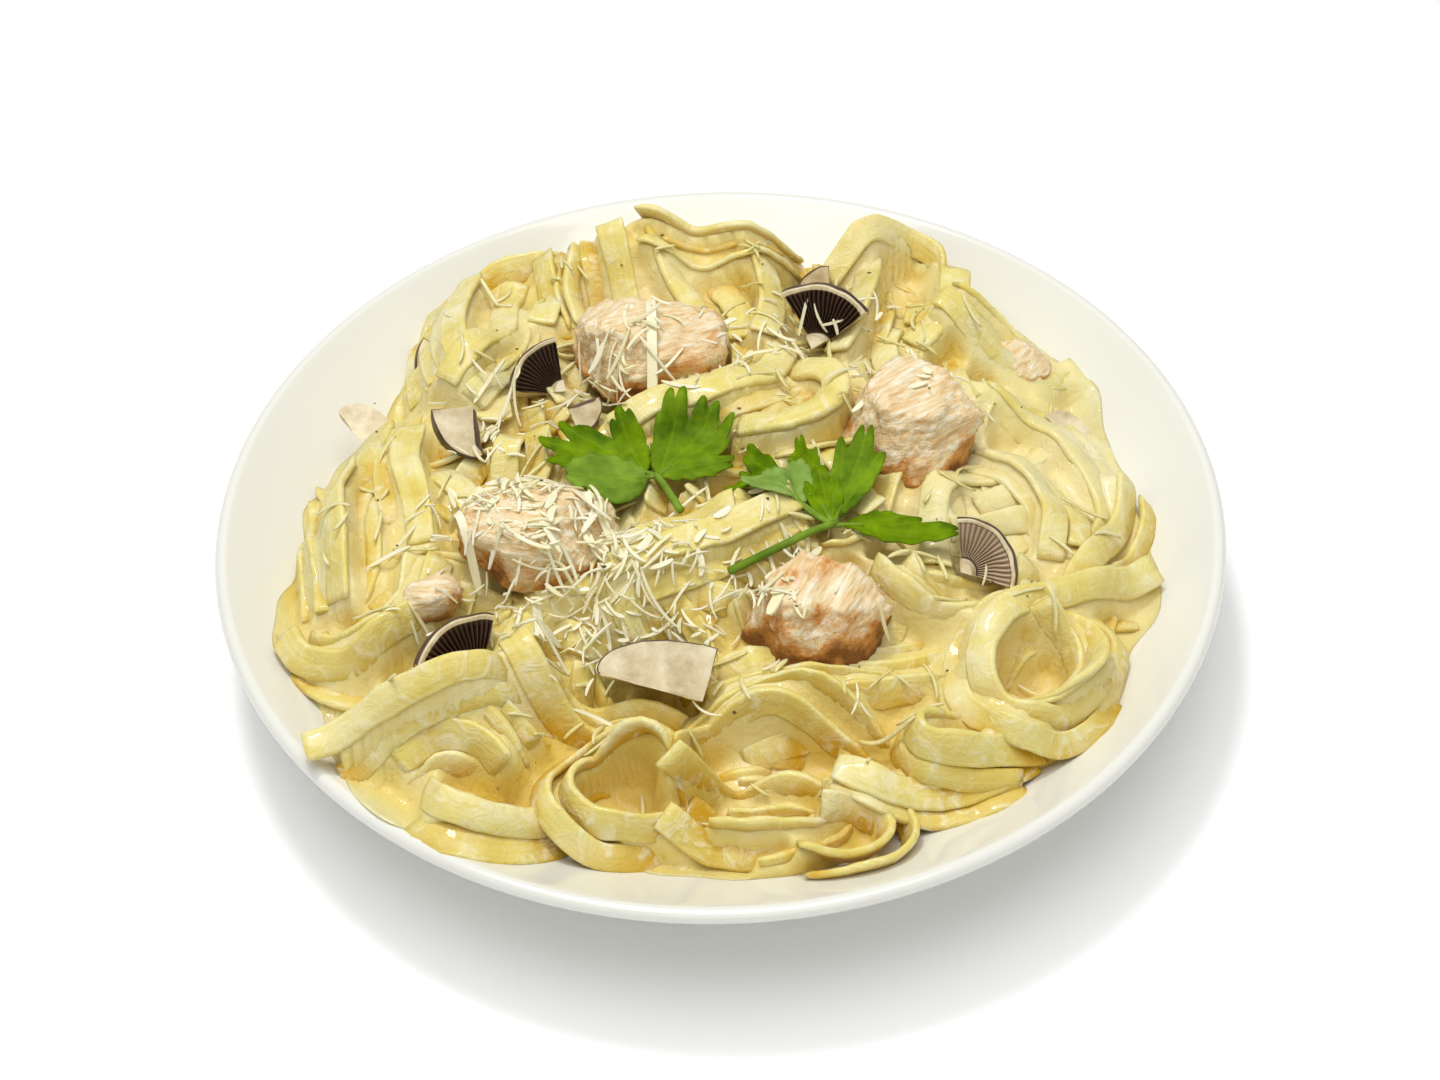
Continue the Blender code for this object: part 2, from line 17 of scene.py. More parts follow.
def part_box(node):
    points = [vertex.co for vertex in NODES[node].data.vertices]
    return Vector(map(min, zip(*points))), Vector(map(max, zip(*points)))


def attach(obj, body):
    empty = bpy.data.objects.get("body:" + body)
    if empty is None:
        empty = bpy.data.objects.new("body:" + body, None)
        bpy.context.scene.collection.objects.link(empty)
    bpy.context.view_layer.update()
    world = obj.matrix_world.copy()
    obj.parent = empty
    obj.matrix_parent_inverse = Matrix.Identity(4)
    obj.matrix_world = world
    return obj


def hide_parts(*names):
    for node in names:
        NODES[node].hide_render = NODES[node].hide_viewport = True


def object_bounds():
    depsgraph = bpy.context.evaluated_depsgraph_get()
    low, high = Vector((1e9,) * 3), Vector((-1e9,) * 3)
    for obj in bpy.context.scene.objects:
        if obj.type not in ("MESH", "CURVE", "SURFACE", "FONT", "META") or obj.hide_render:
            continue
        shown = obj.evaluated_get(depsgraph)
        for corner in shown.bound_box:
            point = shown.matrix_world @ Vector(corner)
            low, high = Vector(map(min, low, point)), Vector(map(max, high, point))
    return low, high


MM = 0.001

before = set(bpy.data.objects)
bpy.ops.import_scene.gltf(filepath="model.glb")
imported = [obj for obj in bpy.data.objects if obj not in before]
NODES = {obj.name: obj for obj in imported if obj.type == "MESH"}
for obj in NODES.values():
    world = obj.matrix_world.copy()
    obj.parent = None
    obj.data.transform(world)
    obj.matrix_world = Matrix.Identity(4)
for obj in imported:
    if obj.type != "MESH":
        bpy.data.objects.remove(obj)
CAD_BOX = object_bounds()


def placed(name, data):
    """A new object in the scene."""
    obj = bpy.data.objects.new(name, data)
    bpy.context.scene.collection.objects.link(obj)
    return obj


def beside(x, y, reach, angle):
    """The point that far from x, y in that direction."""
    return x + reach * math.cos(angle), y + reach * math.sin(angle)


# ---------------------------------------------------------------- camera

CAMERA_ELEVATION = math.radians(46.27)
CAMERA_ROLL = math.radians(-1.93)
CAMERA_DISTANCE = 0.60
CAMERA_TARGET = Vector((0.0, -0.0157, 0.040))
CAMERA_LENS = 56.7


def add_camera():
    data = bpy.data.cameras.new("camera")
    data.lens = CAMERA_LENS
    data.sensor_width = 36.0
    data.clip_start = 0.01
    camera = placed("camera", data)
    back = Vector((0, -math.cos(CAMERA_ELEVATION), math.sin(CAMERA_ELEVATION)))
    right = Vector((1, 0, 0))
    up = back.cross(right)
    cos, sin = math.cos(CAMERA_ROLL), math.sin(CAMERA_ROLL)
    turned_right = right * cos + up * sin
    turned_up = up * cos - right * sin
    axes = Matrix((turned_right, turned_up, back)).transposed().to_4x4()
    camera.matrix_world = Matrix.Translation(CAMERA_TARGET + back * CAMERA_DISTANCE) @ axes
    bpy.context.scene.camera = camera


# ---------------------------------------------------------------- floor and light


WHITE = (1.0, 1.0, 1.0, 1.0)
WORLD_STRENGTH = 0.37
# Name, place and size in metres, watts and colour of each round light. All of them aim at the plate's middle.
LIGHTS = (
    ("softbox", (-0.05, -0.14, 1.22), 1.0, 7.5, (1, 1, 1)),
    ("key", (-0.16, 0.28, 1.2), 0.22, 4.9, (1.0, 0.99, 0.98)),
    ("fill", (0.1, -1.0, 0.8), 0.8, 1.2, (1, 1, 1)),
)


def add_stage():
    scene = bpy.context.scene
    scene.view_settings.view_transform = "Standard"
    scene.world = bpy.data.worlds.new("studio")
    scene.world.use_nodes = True
    background = scene.world.node_tree.nodes["Background"]
    background.inputs["Color"].default_value = WHITE
    background.inputs["Strength"].default_value = WORLD_STRENGTH
    bpy.ops.mesh.primitive_plane_add(size=12, location=(0, 0, 0))
    floor = bpy.context.object
    floor.name = "floor"
    made = bpy.data.materials.new("floor_white")
    made.use_nodes = True
    shader = made.node_tree.nodes["Principled BSDF"]
    shader.inputs["Base Color"].default_value = WHITE
    shader.inputs["Roughness"].default_value = 0.8
    floor.data.materials.append(made)
    for name, place, size, power, colour in LIGHTS:
        data = bpy.data.lights.new(name, "AREA")
        data.shape = "DISK"
        data.size = size
        data.energy = power
        data.color = colour
        light = placed(name, data)
        light.location = place
        light.rotation_euler = (Vector((0, 0, 0.02)) - Vector(place)).to_track_quat("-Z", "Y").to_euler()


# ---------------------------------------------------------------- materials


def srgb(red, green, blue):
    """A 0-255 screen colour as linear light."""
    linear = []
    for channel in (red, green, blue):
        c = channel / 255
        linear.append(c / 12.92 if c <= 0.04045 else ((c + 0.055) / 1.055) ** 2.4)
    return (*linear, 1.0)


class Shader:
    """Short names for building a material's nodes. Colours are 0-255 screen colours."""

    def __init__(self, name):
        self.material = bpy.data.materials.new(name)
        self.material.use_nodes = True
        self.nodes = self.material.node_tree.nodes
        self.links = self.material.node_tree.links
        self.surface = self.nodes["Principled BSDF"]
        self.coordinates = self.nodes.new("ShaderNodeTexCoord").outputs["Object"]

    def set(self, **values):
        for key, value in values.items():
            self.surface.inputs[key.replace("_", " ")].default_value = value

    def subsurface(self, weight, radius, scale):
        self.set(Subsurface_Weight=weight, Subsurface_Radius=radius, Subsurface_Scale=scale)

    def node(self, kind, inputs, **settings):
        """A new node; inputs maps a socket to a value or to another node's output."""
        node = self.nodes.new("ShaderNode" + kind)
        for key, value in settings.items():
            setattr(node, key, value)
        for key, value in inputs.items():
            if isinstance(value, bpy.types.NodeSocket):
                self.links.new(value, node.inputs[key])
            else:
                node.inputs[key].default_value = value
        return node

    def attribute(self, name, output="Fac"):
        return self.node("Attribute", {}, attribute_name=name).outputs[output]

    def ragged(self, name, grain):
        """An attribute with half of a noise added, so that its edges come out ragged."""
        half = self.node("Math", {0: grain, 1: 0.5}, operation="MULTIPLY").outputs[0]
        return self.node("Math", {0: self.attribute(name), 1: half}, operation="ADD").outputs[0]

    def noise(self, scale, detail=3.0, roughness=0.55, stretch=None, vector=None, distortion=0.0):
        source = vector or self.coordinates
        if stretch:
            source = self.node("Mapping", {"Vector": source, "Scale": stretch}).outputs["Vector"]
        inputs = {"Vector": source, "Scale": scale, "Detail": detail, "Roughness": roughness, "Distortion": distortion}
        return self.node("TexNoise", inputs).outputs["Fac"]

    def ramp(self, factor, *stops):
        """Stops are (position, colour or grey value)."""
        node = self.node("ValToRGB", {"Fac": factor})
        elements = node.color_ramp.elements
        while len(elements) < len(stops):
            elements.new(0.5)
        for element, (position, colour) in zip(elements, stops):
            element.position = position
            element.color = srgb(*colour) if isinstance(colour, tuple) else (colour, colour, colour, 1)
        return node.outputs["Color"]

    def mix(self, factor, one, two):
        return self.node("Mix", {0: factor, 6: one, 7: two}, data_type="RGBA").outputs[2]

    def over(self, colour, factor, low, high, strength, tint):
        """Lays a tint on a colour: none where the factor is low, and at its strength where it is high."""
        tint = srgb(*tint) if isinstance(tint, tuple) else tint
        return self.mix(self.ramp(factor, (low, 0.0), (high, strength)), colour, tint)

    def paint(self, colour):
        self.links.new(colour, self.surface.inputs["Base Color"])

    def rough(self, scale, detail, low, high, start=0.3):
        """Roughness that wanders between two values."""
        roughness = self.ramp(self.noise(scale, detail), (start, low), (0.7, high))
        self.links.new(roughness, self.surface.inputs["Roughness"])

    def bump(self, height, strength, distance):
        inputs = {"Height": height, "Strength": strength, "Distance": distance}
        normal = self.surface.inputs["Normal"]
        if normal.is_linked:
            inputs["Normal"] = normal.links[0].from_socket
        self.links.new(self.node("Bump", inputs).outputs["Normal"], normal)


def plate_material():
    s = Shader("ivory_glaze")
    s.paint(s.ramp(s.noise(9, 2), (0.3, (232, 232, 222)), (0.7, (236, 236, 227))))
    s.rough(160, 2, 0.10, 0.16)
    s.set(Coat_Weight=0.4, Coat_Roughness=0.05, IOR=1.5)
    s.bump(s.noise(60, 2), 0.05, 0.0006)
    return s.material


def pasta_material():
    """Moist noodles: pale yellow where the cream lies on them, with painted shade, a deep golden, in the cavities
    between them.
    """
    s = Shader("fettuccine")
    patches = s.noise(55, 3, 0.6, distortion=0.6)
    colour = s.ramp(patches, (0.32, (223, 202, 100)), (0.50, (231, 216, 128)), (0.68, (240, 231, 176)))
    streaks = s.noise(1.0, 3, 0.6, stretch=(40, 900, 60), vector=s.attribute("along", "Vector"))
    colour = s.mix(0.22, colour, s.ramp(streaks, (0.35, (214, 190, 86)), (0.65, (241, 233, 182))))
    # painted shade: deep golden laid where a point lies below the ball-closed surface, as in the shaded hollows
    # between noodles
    colour = s.over(colour, s.attribute("cavity"), 0.04, 0.55, 0.9, (206, 160, 0))
    smears = s.noise(150, 4, 0.7, distortion=1.2)
    colour = s.over(colour, smears, 0.52, 0.66, 0.6, (242, 235, 200))
    s.paint(s.over(colour, s.ragged("coated", smears), 0.45, 1.0, 0.6, (238, 228, 176)))
    s.subsurface(0.25, (1.0, 0.8, 0.3), 0.003)
    s.rough(240, 3, 0.34, 0.50)
    s.set(IOR=1.36, Specular_IOR_Level=0.25, Coat_Weight=0.35, Coat_Roughness=0.08)
    s.bump(smears, 0.55, 0.0015)
    s.bump(s.noise(520, 3, 0.6), 0.35, 0.0005)
    return s.material


def cream_material():
    s = Shader("alfredo_cream")
    patches = s.noise(45, 4, 0.6, distortion=0.4)
    colour = s.ramp(patches, (0.32, (227, 212, 134)), (0.52, (235, 223, 158)), (0.70, (241, 234, 190)))
    # painted shade: golden tint where the cream lies deep below the ball-closed surface, as in shaded hollows
    colour = s.over(colour, s.attribute("cavity"), 0.08, 0.80, 0.65, (214, 176, 24))
    s.paint(s.over(colour, s.ragged("coated", s.noise(150, 3)), 0.45, 1.0, 0.6, (238, 228, 182)))
    s.subsurface(0.25, (1.0, 0.82, 0.4), 0.003)
    s.rough(150, 3, 0.28, 0.45, start=0.35)
    s.set(IOR=1.36, Specular_IOR_Level=0.3, Coat_Weight=0.35, Coat_Roughness=0.06)
    s.bump(s.noise(170, 4, 0.7, distortion=1.0), 0.5, 0.0014)
    s.bump(s.noise(520, 3, 0.6), 0.3, 0.0005)
    return s.material


def chicken_material():
    """Pale fibres, with the sear where the "sear" attribute is high."""
    s = Shader("chicken")
    grain = s.attribute("grain", "Vector")
    fibres = s.noise(1.0, 4, 0.65, stretch=(90, 700, 700), vector=grain)
    colour = s.ramp(fibres, (0.32, (220, 180, 120)), (0.48, (238, 214, 166)), (0.66, (250, 242, 218)))
    colour = s.over(colour, s.noise(95, 3, 0.6), 0.50, 0.70, 0.35, (232, 188, 120))
    threads = s.noise(1.0, 5, 0.7, stretch=(160, 520, 520), vector=grain, distortion=1.5)
    colour = s.over(colour, threads, 0.58, 0.68, 0.6, (218, 142, 60))
    sear = s.ragged("sear", s.noise(220, 4, 0.7))
    colour = s.over(colour, sear, 0.60, 0.76, 0.9, (212, 140, 50))
    s.paint(s.over(colour, sear, 0.74, 0.92, 0.9, (122, 70, 20)))
    s.subsurface(0.1, (1.0, 0.75, 0.5), 0.002)
    s.rough(300, 3, 0.38, 0.6)
    s.set(IOR=1.4, Coat_Weight=0.15, Coat_Roughness=0.25)
    s.bump(fibres, 0.8, 0.0012)
    return s.material


def mushroom_material():
    """Flesh, skin and gills by the "part" attribute: 0 flesh, 0.5 skin, 1 gills."""
    s = Shader("mushroom")
    part = s.attribute("part")
    flesh = s.ramp(s.noise(120, 4, 0.6), (0.32, (190, 168, 124)), (0.62, (236, 224, 190)))
    skin = s.ramp(s.noise(90, 4, 0.65), (0.3, (48, 34, 22)), (0.7, (108, 82, 58)))
    shades = ((0.10, (24, 15, 11)), (0.45, (82, 58, 42)), (0.6, (126, 100, 78)), (1.0, (204, 184, 156)))
    gills = s.ramp(s.attribute("gill"), *shades)
    s.paint(s.over(s.over(flesh, part, 0.20, 0.30, 1.0, skin), part, 0.70, 0.80, 1.0, gills))
    s.subsurface(0.15, (1.0, 0.7, 0.5), 0.002)
    s.rough(260, 3, 0.35, 0.6)
    s.bump(s.noise(500, 4, 0.6), 0.35, 0.0005)
    return s.material


def parsley_material():
    s = Shader("parsley")
    tone = s.noise(130, 3, 0.6)
    dark = s.ramp(tone, (0.3, (68, 98, 0)), (0.7, (120, 152, 0)))
    light = s.ramp(tone, (0.3, (116, 150, 58)), (0.7, (158, 186, 104)))
    s.paint(s.over(s.mix(s.attribute("shade"), dark, light), s.attribute("vein"), 0.4, 1.0, 0.35, (126, 156, 24)))
    s.rough(400, 3, 0.42, 0.60)
    s.set(Specular_IOR_Level=0.06)
    s.bump(s.noise(900, 3, 0.6), 0.4, 0.0003)
    return s.material


def cheese_material():
    s = Shader("cheese")
    s.paint(s.ramp(s.noise(140, 3), (0.3, (236, 227, 176)), (0.7, (247, 242, 214))))
    s.subsurface(0.35, (1.0, 0.85, 0.6), 0.0015)
    s.rough(500, 2, 0.45, 0.65)
    s.bump(s.noise(1500, 3), 0.4, 0.0002)
    return s.material


def pepper_material():
    s = Shader("pepper")
    s.paint(s.ramp(s.noise(800, 2), (0.35, (56, 46, 18)), (0.65, (128, 116, 48))))
    s.rough(900, 2, 0.5, 0.8)
    return s.material


# ---------------------------------------------------------------- height field

CELL = 1.0  # mm between the field's points
HALF_CELLS = 145
RAY_START = 0.2  # metres, above all of the food
SIZE = 2 * HALF_CELLS + 1
AXIS = (np.arange(SIZE) - HALF_CELLS) * CELL
GRID_X, GRID_Y = np.meshgrid(AXIS, AXIS, indexing="ij")
GRID_R = np.hypot(GRID_X, GRID_Y)
GRID_DEGREES = np.degrees(np.arctan2(GRID_Y, GRID_X)) % 360


def cell_of(values):
    return np.clip(np.rint(np.asarray(values) / CELL).astype(int) + HALF_CELLS, 0, SIZE - 1)


def blurred(field, sigma):
    """Gaussian blur with a spread of sigma mm."""
    wave = np.fft.fftfreq(SIZE, CELL)
    gain_x = np.exp(-2 * (np.pi * wave * sigma) ** 2)
    gain_y = np.exp(-2 * (np.pi * np.fft.rfftfreq(SIZE, CELL) * sigma) ** 2)
    return np.fft.irfft2(np.fft.rfft2(field) * gain_x[:, None] * gain_y[None, :], s=field.shape)


def soft_noise(rng, sigma):
    """A smooth random field with a spread of 1."""
    field = blurred(rng.standard_normal((SIZE, SIZE)), sigma)
    return (field - field.mean()) / field.std()


def sample(field, x, y):
    """Bilinear reading of the field at arrays of x and y."""
    u = np.clip(x / CELL + HALF_CELLS, 0, SIZE - 1.001)
    v = np.clip(y / CELL + HALF_CELLS, 0, SIZE - 1.001)
    i, j = u.astype(int), v.astype(int)
    a, b = u - i, v - j
    low = field[i, j] * (1 - b) + field[i, j + 1] * b
    high = field[i + 1, j] * (1 - b) + field[i + 1, j + 1] * b
    return low * (1 - a) + high * a


def height_at(field, x, y):
    return float(sample(field, np.array([x]), np.array([y]))[0])


def ball_shift(field, radius, sign):
    """The field grown (sign 1) or shrunk (sign -1) by a rolling ball of that radius in mm."""
    best = field.copy()
    reach = int(radius / CELL)
    for i in range(-reach, reach + 1):
        for j in range(-reach, reach + 1):
            rest = radius**2 - (i * i + j * j) * CELL**2
            if rest <= 0:
                continue
            moved = np.roll(np.roll(field, i, 0), j, 1) + sign * math.sqrt(rest)
            best = np.maximum(best, moved) if sign > 0 else np.minimum(best, moved)
    return best


def closed_by_ball(field, radius):
    """The field with its grooves filled as far as a ball of that radius can't get in."""
    return ball_shift(ball_shift(field, radius, 1), radius, -1)


def node_heights(name, step):
    """Heights in mm of the CAD node's top, on every step-th point of the grid, NaN where there is none."""
    mesh = NODES[name].data
    tree = BVHTree.FromPolygons([v.co for v in mesh.vertices], [list(p.vertices) for p in mesh.polygons])
    low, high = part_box(name)
    found = np.full((SIZE, SIZE), np.nan)
    for i in range(0, SIZE, step):
        x = AXIS[i] * MM
        if not low[0] <= x <= high[0]:
            continue
        for j in range(0, SIZE, step):
            y = AXIS[j] * MM
            if low[1] <= y <= high[1]:
                hit = tree.ray_cast(Vector((x, y, RAY_START)), Vector((0, 0, -1)))[0]
                if hit:
                    found[i, j] = hit.z / MM
    return found


# ---------------------------------------------------------------- meshes


def make_object(name, points, faces, material, smooth=True, attributes=None):
    """A mesh object from points in mm; attributes maps a name to one value or vector for each point."""
    mesh = bpy.data.meshes.new(name)
    points = np.asarray(points, dtype=float) * MM
    mesh.from_pydata(points.tolist(), [], faces)
    for key, values in (attributes or {}).items():
        values = np.asarray(values, dtype=float)
        kind = "FLOAT_VECTOR" if values.ndim == 2 else "FLOAT"
        layer = mesh.attributes.new(key, kind, "POINT")
        layer.data.foreach_set("vector" if values.ndim == 2 else "value", values.ravel())
    if smooth:
        mesh.shade_smooth()
    mesh.materials.append(material)
    obj = placed(name, mesh)
    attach(obj, "root")
    return obj


def band_faces(one, other, steps, flip=False):
    """Faces between two closed rings of points, which begin at those two numbers."""
    faces = []
    for i in range(steps):
        j = (i + 1) % steps
        faces.append((one + i, one + j, other + j, other + i) if flip else (one + i, other + i, other + j, one + j))
    return faces


class Parts:
    """Points, faces and attributes of one joined mesh."""

    def __init__(self, *attributes):
        self.points = []
        self.faces = []
        self.values = {key: [] for key in attributes}
        self.count = 0

    def add(self, points, faces, **values):
        points = np.asarray(points, dtype=float)
        self.points.append(points)
        self.faces += [tuple(index + self.count for index in face) for face in faces]
        self.count += len(points)
        for key, stored in self.values.items():
            stored.append(np.asarray(values[key], dtype=float))

    def build(self, name, material, smooth=True):
        attributes = {key: np.concatenate(stored) for key, stored in self.values.items()}
        return make_object(name, np.concatenate(self.points), self.faces, material, smooth, attributes)


# ---------------------------------------------------------------- plate

PLATE_RADIUS = (CAD_BOX[1][0] - CAD_BOX[0][0]) / 2 / MM
PLATE_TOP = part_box("plate")[1][2] / MM
LIP_RADIUS = 2.2
LIP_START = math.radians(129)  # where the wall runs smoothly into the round lip
WELL_RADIUS = 62.0
WELL_Z = 9.0
WALL_POWER = 1.9
WALL_THICKNESS = 4.6
FOOT_RADIUS = 66.0
FOOT_HALF = 2.5  # half the foot ring's width
FOOT_HEIGHT = 3.5
PLATE_STEPS = 256


def plate_z(radius):
    """Height of the plate's upper face, for arrays too."""
    lip_inner = PLATE_RADIUS - LIP_RADIUS * (1 - math.cos(LIP_START))
    wall_top = PLATE_TOP - LIP_RADIUS * (1 - math.sin(LIP_START))
    share = np.clip((radius - WELL_RADIUS) / (lip_inner - WELL_RADIUS), 0, None)
    return WELL_Z + (wall_top - WELL_Z) * share**WALL_POWER


def make_plate():
    lip_middle = PLATE_RADIUS - LIP_RADIUS
    lip_z = PLATE_TOP - LIP_RADIUS
    inner = [WELL_RADIUS * 0.2 * i for i in range(1, 5)]
    inner += list(np.linspace(WELL_RADIUS, PLATE_RADIUS - LIP_RADIUS * (1 - math.cos(LIP_START)), 30))
    profile = [(r, float(plate_z(r))) for r in inner]
    for degrees in np.linspace(math.degrees(LIP_START) - 10, -10, 12):
        angle = math.radians(degrees)
        profile.append((lip_middle + LIP_RADIUS * math.cos(angle), lip_z + LIP_RADIUS * math.sin(angle)))
    foot_outer, foot_inner = FOOT_RADIUS + FOOT_HALF, FOOT_RADIUS - FOOT_HALF
    for r in np.linspace(PLATE_RADIUS - 0.6, foot_outer + 3, 22):
        profile.append((r, max(FOOT_HEIGHT, float(plate_z(r)) - WALL_THICKNESS)))
    profile += [(foot_outer + 0.8, FOOT_HEIGHT - 0.3), (foot_outer, FOOT_HEIGHT - 1), (foot_outer - 0.3, 0.8)]
    profile += [(foot_outer - 1, 0.1), (FOOT_RADIUS, 0.0), (foot_inner + 1, 0.1), (foot_inner + 0.3, 0.8)]
    profile += [(foot_inner, FOOT_HEIGHT - 1), (foot_inner - 0.8, FOOT_HEIGHT - 0.2), (foot_inner - 2, FOOT_HEIGHT)]
    profile += [(30.0, FOOT_HEIGHT)]
    points, faces = [(0, 0, WELL_Z)], []
    for step in range(PLATE_STEPS):
        angle = 2 * math.pi * step / PLATE_STEPS
        points += [(r * math.cos(angle), r * math.sin(angle), z) for r, z in profile]
    points.append((0, 0, FOOT_HEIGHT))
    rows = len(profile)
    for step in range(PLATE_STEPS):
        here, there = 1 + step * rows, 1 + (step + 1) % PLATE_STEPS * rows
        faces.append((0, here, there))
        faces += [(here + i, here + i + 1, there + i + 1, there + i) for i in range(rows - 1)]
        faces.append((here + rows - 1, len(points) - 1, there + rows - 1))
    plate = make_object("coupe_plate", points, faces, plate_material())
    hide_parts("plate")


# ---------------------------------------------------------------- the bed under the noodles

TOPPINGS = [name for name in NODES if name.split("_")[0] in ("chicken", "mushroom")]
OUTLINE_STEPS = 360  # one for each degree
OUTLINE_WAVES = 14  # how fine a detail the heap's outline keeps
CORE_DEPTH = 13.0  # mm of loose noodles over the bed
TOPPING_SUNK = 0.35  # share of a topping's height that noodles may cover


class Heap:
    """The height fields, in mm, that the food is laid on."""

    def __init__(self):
        self.rng = random.Random(20)
        self.random = np.random.default_rng(20)
        rough = node_heights("noodle_heap", 2)
        self.outline = self.find_outline(rough)
        ring = np.append(self.outline, self.outline[0])
        self.edge = np.interp(GRID_DEGREES, np.arange(OUTLINE_STEPS + 1), ring)
        self.share = GRID_R / self.edge
        self.floor = plate_z(GRID_R)
        known = np.isfinite(rough)
        level = np.where(known, rough, 0.0)
        weight = blurred(known.astype(float), 4.0)
        smooth = blurred(level, 4.0) / np.maximum(weight, 1e-3)
        inside = self.share < 1
        self.target = np.where(inside & (weight > 0.02), smooth, self.floor)
        self.target = np.maximum(self.target, self.floor)
        self.lay_toppings()
        rim = np.clip(1 - self.share**5, 0, 1) ** 0.7
        bed = self.floor + (self.target - CORE_DEPTH - self.floor) * rim
        self.top = np.maximum(self.floor + 0.4, np.where(inside, bed, self.floor))
        self.bed = self.top.copy()

    def find_outline(self, rough):
        """How far out the CAD heap reaches in each degree."""
        reach = np.zeros(OUTLINE_STEPS)
        for i, j in zip(*np.nonzero(np.isfinite(rough))):
            at = int(GRID_DEGREES[i, j])
            reach[at] = max(reach[at], GRID_R[i, j])
        spread = np.array([max(np.roll(reach, s)[i] for s in range(-3, 4)) for i in range(OUTLINE_STEPS)])
        wave = np.fft.rfft(spread)
        wave[OUTLINE_WAVES:] = 0
        return np.fft.irfft(wave, OUTLINE_STEPS)

    def lay_toppings(self):
        """Where a topping stands, noodles stay below its lower part."""
        self.under_topping = np.full((SIZE, SIZE), np.inf)
        self.topping_top = np.full((SIZE, SIZE), -np.inf)
        for name in TOPPINGS:
            top = node_heights(name, 1)
            low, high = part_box(name)
            limit = low[2] / MM + (high[2] - low[2]) / MM * TOPPING_SUNK
            hit = np.isfinite(top)
            self.topping_top[hit] = np.maximum(self.topping_top[hit], top[hit])
            self.under_topping[hit] = np.minimum(self.under_topping[hit], limit)

    def limit(self):
        """The greatest height that loose noodles may reach."""
        return np.minimum(self.target - self.reserved, self.under_topping)


# ---------------------------------------------------------------- noodles

NOODLE_STEP = 1.5  # mm between a noodle's sections


def blob(x, y, reach):
    """A round hill that is 1 high at x, y."""
    return np.exp(-((GRID_X - x) ** 2 + (GRID_Y - y) ** 2) / (2 * reach**2))


# How much cream covers the noodles: most on the right, with an uneven edge.
COATED = np.clip(blob(66, 14, 27) + blob(40, 50, 16) * 0.6 + 0.22 * soft_noise(np.random.default_rng(21), 8), 0, 1)
LUMPS = soft_noise(np.random.default_rng(8), 1.5)  # small unevenness of whatever lies on the plate
SECTION_SPOTS = np.linspace(-0.5, 0.5, 7)
SECTION_POINTS = 12
SECTION_SQUARENESS = 0.3  # 1 would be an ellipse, and 0 a box
END_TAPER = (0.55, 0.9)  # thickness of the last sections, as a share


def directions(path):
    """Unit vectors along a path."""
    along = np.gradient(path, axis=0)
    return along / np.maximum(np.linalg.norm(along, axis=1), 1e-6)[:, None]


def tube_faces(rows, sides):
    """Faces of a closed tube: its sides between the rows of points, and both ends."""
    faces = []
    for i in range(rows - 1):
        faces += band_faces(i * sides, (i + 1) * sides, sides, flip=True)
    return faces + [tuple(reversed(range(sides))), tuple(range((rows - 1) * sides, rows * sides))]


